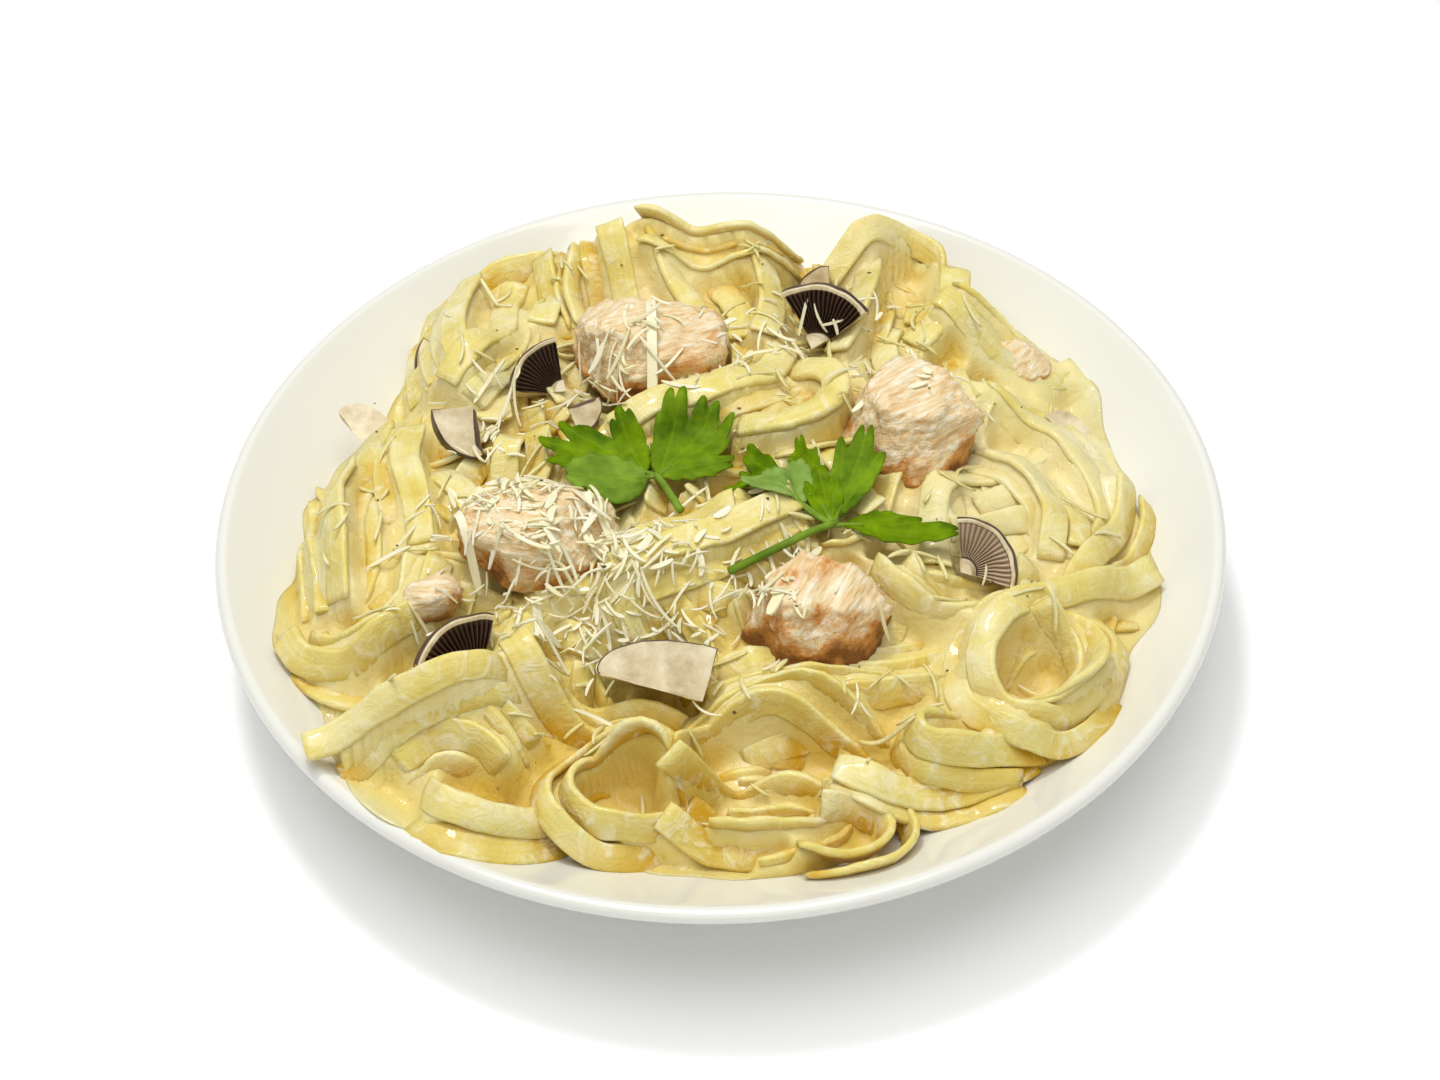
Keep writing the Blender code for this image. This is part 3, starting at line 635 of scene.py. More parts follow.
class Noodle:
    """A ribbon along a plan route, settled on the height field."""

    def __init__(self, route, roll, width, thickness, lift=0.0, cup=0.0, embed=0.7):
        self.route = np.asarray(route, dtype=float)
        count = len(self.route)
        self.roll = np.radians(np.broadcast_to(np.asarray(roll, dtype=float), (count,)))
        self.width = width
        self.thickness = thickness
        self.lift = np.broadcast_to(np.asarray(lift, dtype=float), (count,))
        self.cup = cup
        self.embed = embed

    def settle(self, heap, slopes):
        """Works out the middle line and the section's directions."""
        x, y = self.route[:, 0], self.route[:, 1]
        along = directions(self.route)
        self.across = np.stack([-along[:, 1], along[:, 0]], axis=1)
        tilt = np.arctan(sample(slopes[0], x, y) * self.across[:, 0] + sample(slopes[1], x, y) * self.across[:, 1])
        flatness = np.cos(self.roll) ** 2
        self.angle = smoothed(self.roll + tilt * flatness, 3)
        cos, sin = np.cos(self.angle), np.sin(self.angle)
        need = np.full(len(x), -np.inf)
        for spot in SECTION_SPOTS:
            reach = spot * self.width * 0.92
            under = sample(heap.top, x + self.across[:, 0] * reach * cos, y + self.across[:, 1] * reach * cos)
            need = np.maximum(need, under - reach * sin)
        need += self.thickness / 2 * np.abs(cos) - self.embed
        level = smoothed(need, 4)
        for _ in range(2):
            level += smoothed(np.maximum(running_max(need - level, 2), 0), 3)
        self.middle = level + self.lift
        self.centre = np.concatenate([self.route, self.middle[:, None]], axis=1)
        level_across = np.concatenate([self.across, np.zeros((len(x), 1))], axis=1)
        upward = np.cross(directions(self.centre), level_across)
        upward /= np.linalg.norm(upward, axis=1)[:, None]
        upward *= np.sign(upward[:, 2:3] + 1e-9)
        self.side = level_across * cos[:, None] + upward * sin[:, None]
        self.face = upward * cos[:, None] - level_across * sin[:, None]

    def print_on(self, field, steps=13):
        """Raises the field to the noodle's upper side."""
        index = np.arange(len(self.centre))
        fine = np.arange(0, len(self.centre) - 1 + 1e-9, 0.5)
        centre, side, face = (
            np.stack([np.interp(fine, index, values[:, k]) for k in range(3)], axis=1)
            for values in (self.centre, self.side, self.face)
        )
        for a in np.linspace(-0.5, 0.5, steps):
            for b in (-0.5, 0.5):
                spots = centre + side * (a * self.width) + face * (b * self.thickness)
                np.maximum.at(field, (cell_of(spots[:, 0]), cell_of(spots[:, 1])), spots[:, 2])

    def top_at(self):
        """The height of the section's highest edge, for each section."""
        reach = np.abs(self.side[:, 2]) * self.width / 2 + np.abs(self.face[:, 2]) * self.thickness / 2
        return self.centre[:, 2] + reach

    def trimmed(self, start, stop):
        """Keeps the sections from start to stop."""
        for key in ("route", "roll", "lift", "across", "angle", "middle", "centre", "side", "face"):
            setattr(self, key, getattr(self, key)[start:stop])

    def add_to(self, parts, rng, cavity):
        """Adds the ribbon's skin: rounded edges, a wavy, slightly cupped face, and rounded ends."""
        count = len(self.centre)
        s = np.arange(count) * NOODLE_STEP
        wave = [0.25 * np.sin(s / rng.uniform(5, 9) + rng.uniform(0, 6)) for _ in range(2)]
        swell = 1 + 0.05 * np.sin(s / rng.uniform(8, 14) + rng.uniform(0, 6))
        ends = np.ones(count)
        for i, value in enumerate(END_TAPER):
            ends[i] = min(ends[i], value)
            ends[-1 - i] = min(ends[-1 - i], value)
        rings, along = [], []
        for k in range(SECTION_POINTS):
            turn = 2 * math.pi * k / SECTION_POINTS
            a, b = superellipse(turn)
            across = a * self.width / 2 * swell * (0.9 + 0.1 * ends)
            bend = self.cup * (a * a - 0.4) + (wave[0] if a > 0 else wave[1]) * abs(a) ** 3
            through = b * self.thickness / 2 * ends + bend
            rings.append(self.centre + self.side * across[:, None] + self.face * through[:, None])
            along.append(np.stack([s / 1000, np.full(count, a * 0.005), np.full(count, rng_id(self))], axis=1))
        flat = np.stack(rings, axis=1).reshape(-1, 3)
        flat[:, 2] += 0.28 * sample(LUMPS, flat[:, 0], flat[:, 1])
        # how far each point lies below the ball-closed surface sets its painted shade
        depth = sample(cavity, flat[:, 0], flat[:, 1]) - flat[:, 2]
        coated = sample(COATED, flat[:, 0], flat[:, 1])
        faces = tube_faces(count, SECTION_POINTS)
        along = np.stack(along, axis=1).reshape(-1, 3)
        parts.add(flat, faces, along=along, cavity=np.clip(depth / 10, 0, 1), coated=coated)


def rng_id(noodle):
    """A number that differs from noodle to noodle, to shift its streaks."""
    return float((noodle.route[0, 0] * 0.37 + noodle.route[0, 1] * 0.61) % 7)


def superellipse(turn):
    """A point of the section's outline, from -1 to 1 across and through it."""
    cos, sin = math.cos(turn), math.sin(turn)
    across = math.copysign(abs(cos) ** SECTION_SQUARENESS, cos)
    return across, math.copysign(abs(sin) ** (SECTION_SQUARENESS * 1.6), sin)


def smoothed(values, sigma):
    """Gaussian smoothing along a noodle, with sigma in sections and the ends held."""
    reach = int(3 * sigma)
    weights = np.exp(-0.5 * (np.arange(-reach, reach + 1) / sigma) ** 2)
    padded = np.pad(values, reach, mode="edge")
    return np.convolve(padded, weights / weights.sum(), mode="valid")


def running_max(values, reach):
    padded = np.pad(values, reach, mode="edge")
    return np.max([padded[i : i + len(values)] for i in range(2 * reach + 1)], axis=0)


def through(*stops, step=NOODLE_STEP):
    """An evenly spaced smooth route through (x, y, ...) stops; further values follow along."""
    stops = np.asarray(stops, dtype=float)
    ends = np.concatenate([[2 * stops[0] - stops[1]], stops, [2 * stops[-1] - stops[-2]]])
    fine = []
    for i in range(len(stops) - 1):
        a, b, c, d = ends[i : i + 4]
        u = np.linspace(0, 1, 24, endpoint=False)[:, None]
        bend = (2 * a - 5 * b + 4 * c - d) * u**2 + (3 * b - a - 3 * c + d) * u**3
        fine.append(0.5 * (2 * b + (c - a) * u + bend))
    fine.append(stops[-1:])
    fine = np.concatenate(fine)
    length = np.append(0, np.cumsum(np.linalg.norm(np.diff(fine[:, :2], axis=0), axis=1)))
    at = np.linspace(0, length[-1], max(8, int(length[-1] / step)))
    return np.stack([np.interp(at, length, fine[:, k]) for k in range(stops.shape[1])], axis=1)


EDGE_TURN = 0.82  # share of the way out where a route begins to turn along the heap's edge
EDGE_STOP = 0.99  # and where it ends


def wander(rng, heap, x, y, heading, length):
    """A curling route that turns along the heap's edge when it comes near it."""
    bend = rng.choice((-1, 1)) / rng.uniform(16, 60)
    sway = rng.uniform(0.01, 0.05)
    wavelength = rng.uniform(50, 120)
    phase = rng.uniform(0, 2 * math.pi)
    route = []
    for i in range(int(length / NOODLE_STEP)):
        route.append((x, y))
        curvature = bend + sway * math.sin(2 * math.pi * i * NOODLE_STEP / wavelength + phase)
        edge = np.interp(math.degrees(math.atan2(y, x)) % 360, np.arange(OUTLINE_STEPS), heap.outline)
        share = math.hypot(x, y) / edge
        if share > EDGE_TURN:
            off = (heading - math.atan2(y, x) + math.pi) % (2 * math.pi) - math.pi
            pull = max(0.0, math.cos(off)) * (share - EDGE_TURN) * 1.1
            curvature += pull if off > 0 else -pull
        if share > EDGE_STOP:
            break
        heading += curvature * NOODLE_STEP
        x += math.cos(heading) * NOODLE_STEP
        y += math.sin(heading) * NOODLE_STEP
    return np.array(route)


# Noodles that show as themselves, in the order they are laid: runs of (x, y, roll in degrees, lift) stops.
# Roll 0 lies flat, and 90 stands on edge; a run towards +X with a positive roll faces the front.
SHOWN_NOODLES = (
    ((-74, 76, 40, 2), (-71, 88, 50, 4), (-62, 96, 55, 6), (-50, 98, 50, 6), (-40, 94, 30, 4), (-36, 82, 10, 1)),
    ((-80, 84, 20, 1), (-82, 70, 25, 1), (-80, 55, 20, 1), (-76, 40, 10, 1)),
    ((-70, 88, 40, 2), (-73, 72, 35, 2), (-73, 56, 30, 2), (-70, 42, 20, 1), (-64, 32, 10, 1)),
    ((-58, 92, 20, 2), (-60, 74, 10, 2), (-60, 58, 0, 2), (-66, 44, -10, 2), (-74, 34, -10, 1)),
    ((-50, 99, 30, -2), (-49, 90, 40, 4), (-47, 78, 30, 2), (-49, 64, 10, 1)),
    ((-40, 101, -20, -2), (-38, 90, -35, 4), (-40, 78, -30, 2), (-36, 66, -10, 0)),
    ((-28, 103, 30, -3), (-29, 92, 40, 4), (-26, 80, 40, 2), (-24, 70, 20, 0)),
    ((-14, 103, -20, -3), (-16, 92, -40, 5), (-12, 80, -30, 2), (-6, 66, -10, 1), (-4, 52, 0, 1)),
    ((-2, 103, 35, -3), (-3, 92, 45, 5), (2, 80, 30, 2), (8, 64, 10, 1), (8, 50, 0, 1)),
    ((12, 102, -30, -3), (13, 90, -45, 4), (16, 76, -40, 2), (17, 62, -20, 1), (14, 48, 0, 1)),
    ((24, 100, 20, 1), (22, 94, 40, 3), (10, 90, 50, 3), (-6, 92, 40, 3), (-20, 95, 20, 2)),
    ((48, 96, 30, 2), (46, 84, 45, 3), (44, 70, 40, 3), (40, 56, 25, 2), (34, 44, 10, 1)),
    ((34, 84, 30, 3), (46, 94, 40, 6), (59, 99, 50, 9), (67, 94, 60, 9), (66, 84, 50, 6), (61, 72, 30, 3),
     (58, 58, 10, 1)),
    ((72, 86, 10, 1), (70, 74, 20, 2), (66, 60, 20, 2), (56, 48, 10, 1)),
    ((64, 60, 10, 2), (78, 51, 10, 2), (92, 49, 15, 2), (104, 54, 20, 2)),
    ((70, 70, -10, 1), (84, 66, -15, 1), (95, 60, -10, 1)),
    ((76, 34, -20, 2), (90, 24, -25, 2), (100, 10, -30, 2), (104, -6, -30, 2), (99, -20, -20, 1)),
    ((111, 6, -40, 2), (109, -6, -45, 2), (103, -18, -45, 2), (95, -30, -35, 2), (88, -40, -20, 1)),
    ((72, 12, -10, 1), (82, 2, -15, 2), (88, -12, -20, 2), (86, -27, -10, 1)),
    ((22, 34, 20, 1), (32, 26, 30, 2), (30, 14, 30, 2), (18, 8, 20, 1), (6, 12, 10, 1)),
    ((-28, 12, 10, 1), (-14, 18, 20, 2), (0, 22, 20, 2), (14, 30, 10, 1), (20, 44, 0, 1)),
    ((-92, 30, 0, 1), (-95, 12, -5, 1), (-94, -8, 0, 1), (-92, -26, 5, 1), (-96, -42, 20, 0)),
    ((-107, 2, -40, 2), (-106, -12, -50, 2), (-103, -26, -45, 2), (-101, -38, -20, 1)),
    ((-99, 10, 30, 2), (-101, -6, 35, 2), (-99, -22, 40, 2), (-98, -38, 30, 0)),
    ((-113, -42, 30, 1), (-107, -51, 45, 1), (-95, -54, 55, 2), (-84, -50, 50, 2), (-76, -41, 35, 2),
     (-72, -28, 15, 1)),
    ((-84, 26, 10, 1), (-84, 10, 15, 2), (-80, -6, 20, 2), (-78, -20, 10, 1)),
    ((-30, -38, 10, 1), (-12, -34, 5, 2), (6, -27, 5, 2), (20, -18, 10, 1)),
    ((-47, -44, 10, 0), (-52, -52, 25, -1), (-55, -61, 35, 0), (-52, -71, 25, 0), (-46, -80, 5, 0)),
    ((-4, -70, 30, 1), (14, -67, 40, 2), (32, -63, 40, 2), (50, -60, 30, 1), (64, -54, 10, 1)),
    ((2, -76, 40, 1), (22, -73, 45, 1), (42, -70, 50, 1), (60, -65, 40, 1)),
    ((39, -36, 55, 2), (45, -45, 65, 3), (56, -50, 68, 3), (68, -48, 65, 3), (77, -40, 55, 2), (80, -30, 40, 1)),
    ((-76, -78, 55, 1), (-72, -89, 60, 1), (-62, -96, 60, 1), (-51, -96, 60, 1), (-44, -89, 60, 1), (-44, -79, 50, 1)),
    ((-74, -70, 20, -2), (-70, -74, 30, 1), (-70, -80, 35, 1), (-76, -88, 40, 0)),
    ((-88, -64, 30, 0), (-78, -69, 40, 1), (-66, -77, 45, 1), (-56, -88, 40, 0)),
    ((-64, -68, 10, -2), (-62, -73, 25, 1), (-58, -78, 30, 1), (-48, -84, 30, 1)),
    ((-80, -88, 40, 0), (-70, -84, 50, 1), (-60, -86, 55, 1), (-54, -92, 50, 0)),
    ((-102, -86, 30, 2), (-91, -82, 45, 2), (-79, -80, 55, 2), (-67, -78, 55, 2), (-57, -74, 50, 1),
     (-50, -67, 35, -1)),
    ((-73, -94, 45, 0), (-68, -103, 50, 0), (-57, -106, 50, 0), (-46, -103, 50, 0), (-39, -94, 50, 0),
     (-38, -84, 45, 0)),
    ((-52, -62, 30, 1), (-46, -71, 45, 1), (-36, -77, 55, 2), (-24, -79, 60, 2), (-14, -82, 60, 2), (-8, -90, 50, 1)),
    ((-10, -96, 70, 1), (-16, -88, 75, 2), (-26, -86, 75, 2), (-36, -90, 75, 2), (-39, -98, 70, 1), (-32, -105, 70, 1),
     (-20, -106, 70, 1), (-11, -101, 70, 1), (-10, -93, 60, 2)),
    ((-16, -104, 30, -1), (0, -110, 40, 0), (14, -111, 40, 0), (25, -107, 30, -2)),
    ((-13, -88, 60, 1), (-5, -79, 68, 2), (8, -75, 70, 3), (20, -77, 70, 3), (32, -84, 65, 2), (42, -93, 50, 0)),
    ((-14, -94, 60, 1), (-2, -92, 70, 1), (10, -91, 72, 2), (20, -93, 75, 2), (25, -99, 78, 2), (20, -105, 78, 1),
     (8, -107, 75, 1), (-5, -105, 70, 1)),
    ((22, -103, 60, 0), (29, -101, 65, 1), (37, -104, 65, 1), (35, -111, 65, 1), (26, -114, 60, 0), (16, -113, 50, 0)),
    ((26, -92, 30, 0), (38, -97, 40, 0), (52, -96, 45, 0), (64, -92, 40, 0), (75, -85, 30, 0)),
    ((76, -72, 40, 1), (65, -75, 60, 2), (54, -78, 70, 2), (46, -83, 72, 2), (47, -90, 70, 1), (56, -91, 68, 1),
     (67, -88, 60, 1), (78, -83, 40, 0)),
    ((114, -27, -25, 3), (104, -34, -20, 3), (92, -40, -10, 4), (80, -46, 0, 4), (70, -53, 20, 3), (64, -62, 45, 2),
     (64, -72, 62, 1), (71, -79, 68, 1), (81, -79, 68, 1), (91, -72, 65, 1), (98, -62, 60, 1), (101, -52, 55, 1),
     (95, -45, 45, 1)),
    ((80, -50, 30, 0), (87, -56, 45, 1), (88, -64, 50, 1), (81, -70, 50, 1), (73, -70, 40, 0)),
)


def shown_noodles(rng):
    noodles = []
    for stops in SHOWN_NOODLES:
        path = through(*stops)
        width, thickness, cup = rng.uniform(7.6, 8.8), rng.uniform(1.9, 2.3), rng.uniform(-0.6, 0.6)
        noodles.append(Noodle(path[:, :2], path[:, 2], width, thickness, path[:, 3], cup))
    return noodles


def reserved_depth(noodles):
    """How far the loose noodles stay down where a shown noodle stands on edge."""
    depth = np.zeros((SIZE, SIZE))
    for noodle in noodles:
        need = np.abs(np.sin(noodle.roll)) * (noodle.width - 3.0) + 1.5
        for dx in (-2, 0, 2):
            for dy in (-2, 0, 2):
                np.maximum.at(depth, (cell_of(noodle.route[:, 0] + dx), cell_of(noodle.route[:, 1] + dy)), need)
    return blurred(depth, 2.0)


def with_companions(noodles, rng):
    """Puts a strand or two beside and below each shown noodle, as in a twirl of pasta."""
    group = []
    for noodle in noodles:
        for offset in rng.choice(((-5.0,), (5.0,), (-4.5, 5.5), (6.5, 3.5))):
            count = len(noodle.route)
            if count < 14:
                continue
            start, stop = rng.randrange(0, count // 4), count - rng.randrange(0, count // 4)
            along = directions(noodle.route)
            sway = offset + 1.8 * np.sin(np.arange(count) / rng.uniform(6, 12) + rng.uniform(0, 6))
            route = noodle.route + np.stack([-along[:, 1], along[:, 0]], axis=1) * smoothed(sway, 3)[:, None]
            roll = np.degrees(noodle.roll) + rng.uniform(-22, 22)
            width, thickness = rng.uniform(6.6, 8.2), rng.uniform(1.7, 2.1)
            from_end = np.minimum(np.arange(stop - start), np.arange(stop - start)[::-1])
            lift = -1.0 - 2.0 * np.clip(1 - from_end / 6, 0, 1)
            strand = Noodle(route[start:stop], roll[start:stop], width, thickness, lift, rng.uniform(-0.6, 0.6))
            group.append(strand)
        group.append(noodle)
    return group


def lay_shown(heap, noodles):
    for noodle in noodles:
        noodle.settle(heap, np.gradient(blurred(heap.top, 5.0), CELL))
        noodle.print_on(heap.top)


FILLERS = 250  # tries; about half of them find room
FILLER_SPOTS = 40  # places looked at for each, of which the lowest is taken
FILLER_SLACK = 2.0  # mm that a filler may stand over the limit
FILLER_SECTIONS = 22  # the fewest that a filler keeps
FILLER_ROLLS = (0, 15, -15, 35, -35, 55, -55)


def lay_fillers(heap):
    """Loose noodles where the heap is furthest below its shape, kept off the toppings."""
    rng = heap.rng
    laid = []
    for _ in range(FILLERS):
        limit = heap.limit()
        lack = blurred(np.where(heap.share < 0.97, limit - heap.top, 0), 5.0)
        slopes = np.gradient(blurred(heap.top, 5.0), CELL)
        spots = [(rng.uniform(-125, 125), rng.uniform(-125, 125)) for _ in range(FILLER_SPOTS)]
        best = max(spots, key=lambda p: lack[cell_of(p[0]), cell_of(p[1])])
        heading = rng.uniform(0, 2 * math.pi)
        half = rng.uniform(45, 95)
        forth = wander(rng, heap, *best, heading, half)
        back = wander(rng, heap, *best, heading + math.pi, half * rng.uniform(0.5, 1))
        route = np.concatenate([back[::-1], forth[1:]])
        if len(route) < FILLER_SECTIONS + 2:
            continue
        s = np.arange(len(route)) * NOODLE_STEP
        base = rng.choice(FILLER_ROLLS)
        roll = base + rng.uniform(8, 30) * np.sin(s / rng.uniform(14, 30) + rng.uniform(0, 6))
        width, thickness, cup = rng.uniform(7.0, 8.6), rng.uniform(1.7, 2.2), rng.uniform(-0.7, 0.7)
        noodle = Noodle(route, roll, width, thickness, cup=cup, embed=0.4)
        noodle.settle(heap, slopes)
        allowed = sample(np.where(np.isfinite(limit), limit, 0), noodle.route[:, 0], noodle.route[:, 1])
        start, stop = longest_run(noodle.top_at() < allowed + FILLER_SLACK)
        if stop - start < FILLER_SECTIONS:
            continue
        noodle.trimmed(start, stop)
        noodle.print_on(heap.top)
        laid.append(noodle)
    return laid


def longest_run(flags):
    best, start = (0, 0), 0
    for i, flag in enumerate(list(flags) + [False]):
        if not flag:
            if i - start > best[1] - best[0]:
                best = (start, i)
            start = i + 1
    return best


# ---------------------------------------------------------------- cream


FILM_MARGIN = 2.0
FILM_DEPTH = 1.1
FILM_STEPS = 560
FILM_RINGS = 118
FILM_RINGS_BELOW = 12
CREAM_BALL = 3.2  # radius of a ball; the grooves it can't enter are filled
CAVITY_SHADE_BALL = 8.0  # radius of a ball; what lies below where it can reach gets painted shade, more the further below it lies
# The film's uneven edge: waves round the plate, and how far in mm each goes in and out.
FILM_WAVES = ((3, 1.5), (7, 1.2), (11, 1.1), (17, 0.9), (26, 0.6), (41, 0.3))


def lay_cream(heap):
    """The cream's upper face, and how far out its film reaches in each direction."""
    groove = closed_by_ball(heap.top, CREAM_BALL)
    broad, fine = soft_noise(heap.random, 9.0), soft_noise(heap.random, 3.0)
    thick = np.clip((GRID_X - 40) / 50, 0, 1) * np.clip((GRID_Y + 25) / 40, 0, 1)
    sink = 2.2 + 1.0 * np.clip(broad, -1, 2) - 2.1 * thick
    level = groove - np.clip(sink, 0.25, 4.5)
    level = np.minimum(level, blurred(groove, 3.0) + 0.3 + 1.2 * thick)
    level = np.maximum(level, np.minimum(blurred(heap.top, 7.0), blurred(heap.top, 12.0)) - 7.0 + 0.8 * broad)
    level += 0.22 * LUMPS + 0.25 * fine
    steps = np.arange(FILM_STEPS)
    turn = steps * 2 * math.pi / FILM_STEPS
    ripple = sum(a * np.sin(k * turn + k * k) for k, a in FILM_WAVES)
    film_edge = np.interp(steps * 360 / FILM_STEPS, np.arange(OUTLINE_STEPS), heap.outline) + FILM_MARGIN + ripple
    ring = np.append(film_edge, film_edge[0])
    edge = np.interp(GRID_DEGREES, np.append(steps, FILM_STEPS) * 360 / FILM_STEPS, ring)
    film = FILM_DEPTH * np.sqrt(np.clip(1 - (GRID_R / edge) ** 14, 0, 1))
    level = np.maximum(level, heap.floor + film + 0.2 * fine * (film > 0.5))
    level = np.maximum(level, heap.bed)
    return np.where(GRID_R > edge, heap.floor, level), film_edge


def make_cream(heap, level, film_edge):
    """A closed body between the cream's face and the plate, on a grid of rings out to the film's edge."""
    turn = np.arange(FILM_STEPS) * 2 * math.pi / FILM_STEPS
    closed = closed_by_ball(heap.top, CAVITY_SHADE_BALL)
    points, cavity, rings = [], [], []
    for side, count in (("top", FILM_RINGS), ("bottom", FILM_RINGS_BELOW)):
        for share in np.linspace(0, 1, count + 1)[1:]:
            x, y = film_edge * share * np.cos(turn), film_edge * share * np.sin(turn)
            floor = plate_z(np.hypot(x, y)) + 0.05
            z = np.maximum(sample(level, x, y), floor + 0.1) if side == "top" else floor
            if side == "top" and share == 1:
                z = floor + 0.1
            rings.append(len(points) * FILM_STEPS)
            points.append(np.stack([x, y, z], axis=1))
            # painted shade amount: how far each point lies below the ball-closed surface
            cavity.append(np.clip((sample(closed, x, y) - z) / 9, 0, 1))
    points.append(np.array([[0, 0, float(level[HALF_CELLS, HALF_CELLS])], [0, 0, WELL_Z + 0.05]]))
    cavity.append(np.zeros(2))
    middle_top, middle_bottom = len(rings) * FILM_STEPS, len(rings) * FILM_STEPS + 1
    faces = []
    for i in range(FILM_STEPS):
        j = (i + 1) % FILM_STEPS
        faces.append((middle_top, i, j))
        faces.append((middle_bottom, rings[FILM_RINGS] + j, rings[FILM_RINGS] + i))
    for k in range(FILM_RINGS - 1):
        faces += band_faces(rings[k], rings[k + 1], FILM_STEPS)
    for k in range(FILM_RINGS, len(rings) - 1):
        faces += band_faces(rings[k + 1], rings[k], FILM_STEPS)
    faces += band_faces(rings[FILM_RINGS - 1], rings[-1], FILM_STEPS)
    points = np.concatenate(points)
    values = {"cavity": np.concatenate(cavity), "coated": sample(COATED, points[:, 0], points[:, 1])}
    cream = make_object("cream", points, faces, cream_material(), attributes=values)
    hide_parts("cream_sauce")


# ---------------------------------------------------------------- chicken

CHICKEN_VOXEL = 1.1  # mm
GRAIN_TURNS = (20, 60, -15, 35, 0, 50)  # degrees that each chunk's fibres turn by
# A squarish chunk's corners, as shares of half its box.
BLOCK = (
    (-0.6, 0.2, 0.9), (-0.15, 0.8, 1.0), (0.5, 0.5, 0.9), (1.0, -0.05, 0.25), (0.3, -0.5, 0.8),
    (-0.45, -0.4, 0.95), (-1.0, -0.15, -0.4), (-0.7, 0.8, -0.8), (0.5, 0.9, -0.9), (0.95, 0.3, -0.8),
    (0.25, -1.0, -0.45), (-0.5, -0.95, -0.7), (-0.9, 0.1, -0.9), (0.6, -0.6, -1.0),
)
BLOCKY = ("chicken_front", "chicken_right")


def block_mesh(name, node):
    low, high = (Vector(corner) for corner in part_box(node))
    middle, half = (low + high) / 2, (high - low) / 2
    bm = bmesh.new()
    for corner in BLOCK:
        bm.verts.new(middle + Vector(c * h * 1.08 for c, h in zip(corner, half)))
    bmesh.ops.convex_hull(bm, input=bm.verts)
    mesh = bpy.data.meshes.new(name)
    bm.to_mesh(mesh)
    bm.free()
    return mesh


def remeshed(name, node):
    """A chunk's shape as an even fine mesh: its points in mm, faces and point normals."""
    mesh = block_mesh(name, node) if node in BLOCKY else NODES[node].data.copy()
    obj = placed(name, mesh)
    modifier = obj.modifiers.new("even", "REMESH")
    modifier.mode = "VOXEL"
    modifier.voxel_size = CHICKEN_VOXEL * MM
    softer = obj.modifiers.new("softer", "SMOOTH")
    softer.iterations = 1
    graph = bpy.context.evaluated_depsgraph_get()
    mesh = bpy.data.meshes.new_from_object(obj.evaluated_get(graph))
    points = np.array([v.co for v in mesh.vertices]) / MM
    normals = np.array([v.normal for v in mesh.vertices])
    faces = [tuple(p.vertices) for p in mesh.polygons]
    bpy.data.objects.remove(obj, do_unlink=True)
    return points, faces, normals


def noise_at(points, scale, seed=0.0):
    """Smooth noise at points in mm, stretched by a scale for each axis in mm."""
    scaled = points / np.asarray(scale, dtype=float) + seed
    return np.array([noise.noise(p) for p in scaled.tolist()])


def make_chicken():
    """Chunks of breast: fibres along each, cracks between bundles, and seared lower edges."""
    material = chicken_material()
    names = [name for name in NODES if name.startswith("chicken")]
    for number, node in enumerate(sorted(names)):
        points, faces, normals = remeshed(node + "_meat", node)
        low, high = points.min(axis=0), points.max(axis=0)
        turn = np.radians(GRAIN_TURNS[number])
        grain = points.copy()
        cos, sin = math.cos(turn), math.sin(turn)
        grain[:, 0] = points[:, 0] * cos + points[:, 1] * sin
        grain[:, 1] = points[:, 1] * cos - points[:, 0] * sin
        bundles = noise_at(grain, (14, 3.6, 3.6), number * 7.3)
        fibres = noise_at(grain, (7, 1.5, 1.5), number * 3.1)
        lumps = noise_at(points, (9, 9, 9), number * 5.7)
        cracks = -np.clip(0.12 - np.abs(noise_at(grain, (16, 6, 6), number * 9.7)), 0, 1) * 9.0
        facets = np.abs(noise_at(points, (13, 13, 13), number * 6.1))
        crumbs = noise_at(points, (1.6, 1.6, 1.6), number * 1.3)
        push = 0.45 * bundles + 0.5 * fibres + 0.5 * lumps - 1.8 * facets + 0.3 * cracks + 0.6 * crumbs + 0.4
        points = points + normals * push[:, None]
        share = (points[:, 2] - low[2]) / (high[2] - low[2])
        steep = 1 - np.clip(normals[:, 2], 0, 1)
        patches = noise_at(points, (8, 8, 8), number * 2.9 + 11)
        sear = 0.28 if node == "chicken_front" else 0.15
        sear = sear + 0.62 * steep * np.clip(1.0 - share, 0, 1) + 0.30 * patches - 0.08 * cracks
        values = {"grain": grain * MM, "sear": sear}
        meat = make_object(node + "_meat", points, faces, material, attributes=values)
        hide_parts(node)


# ---------------------------------------------------------------- mushrooms

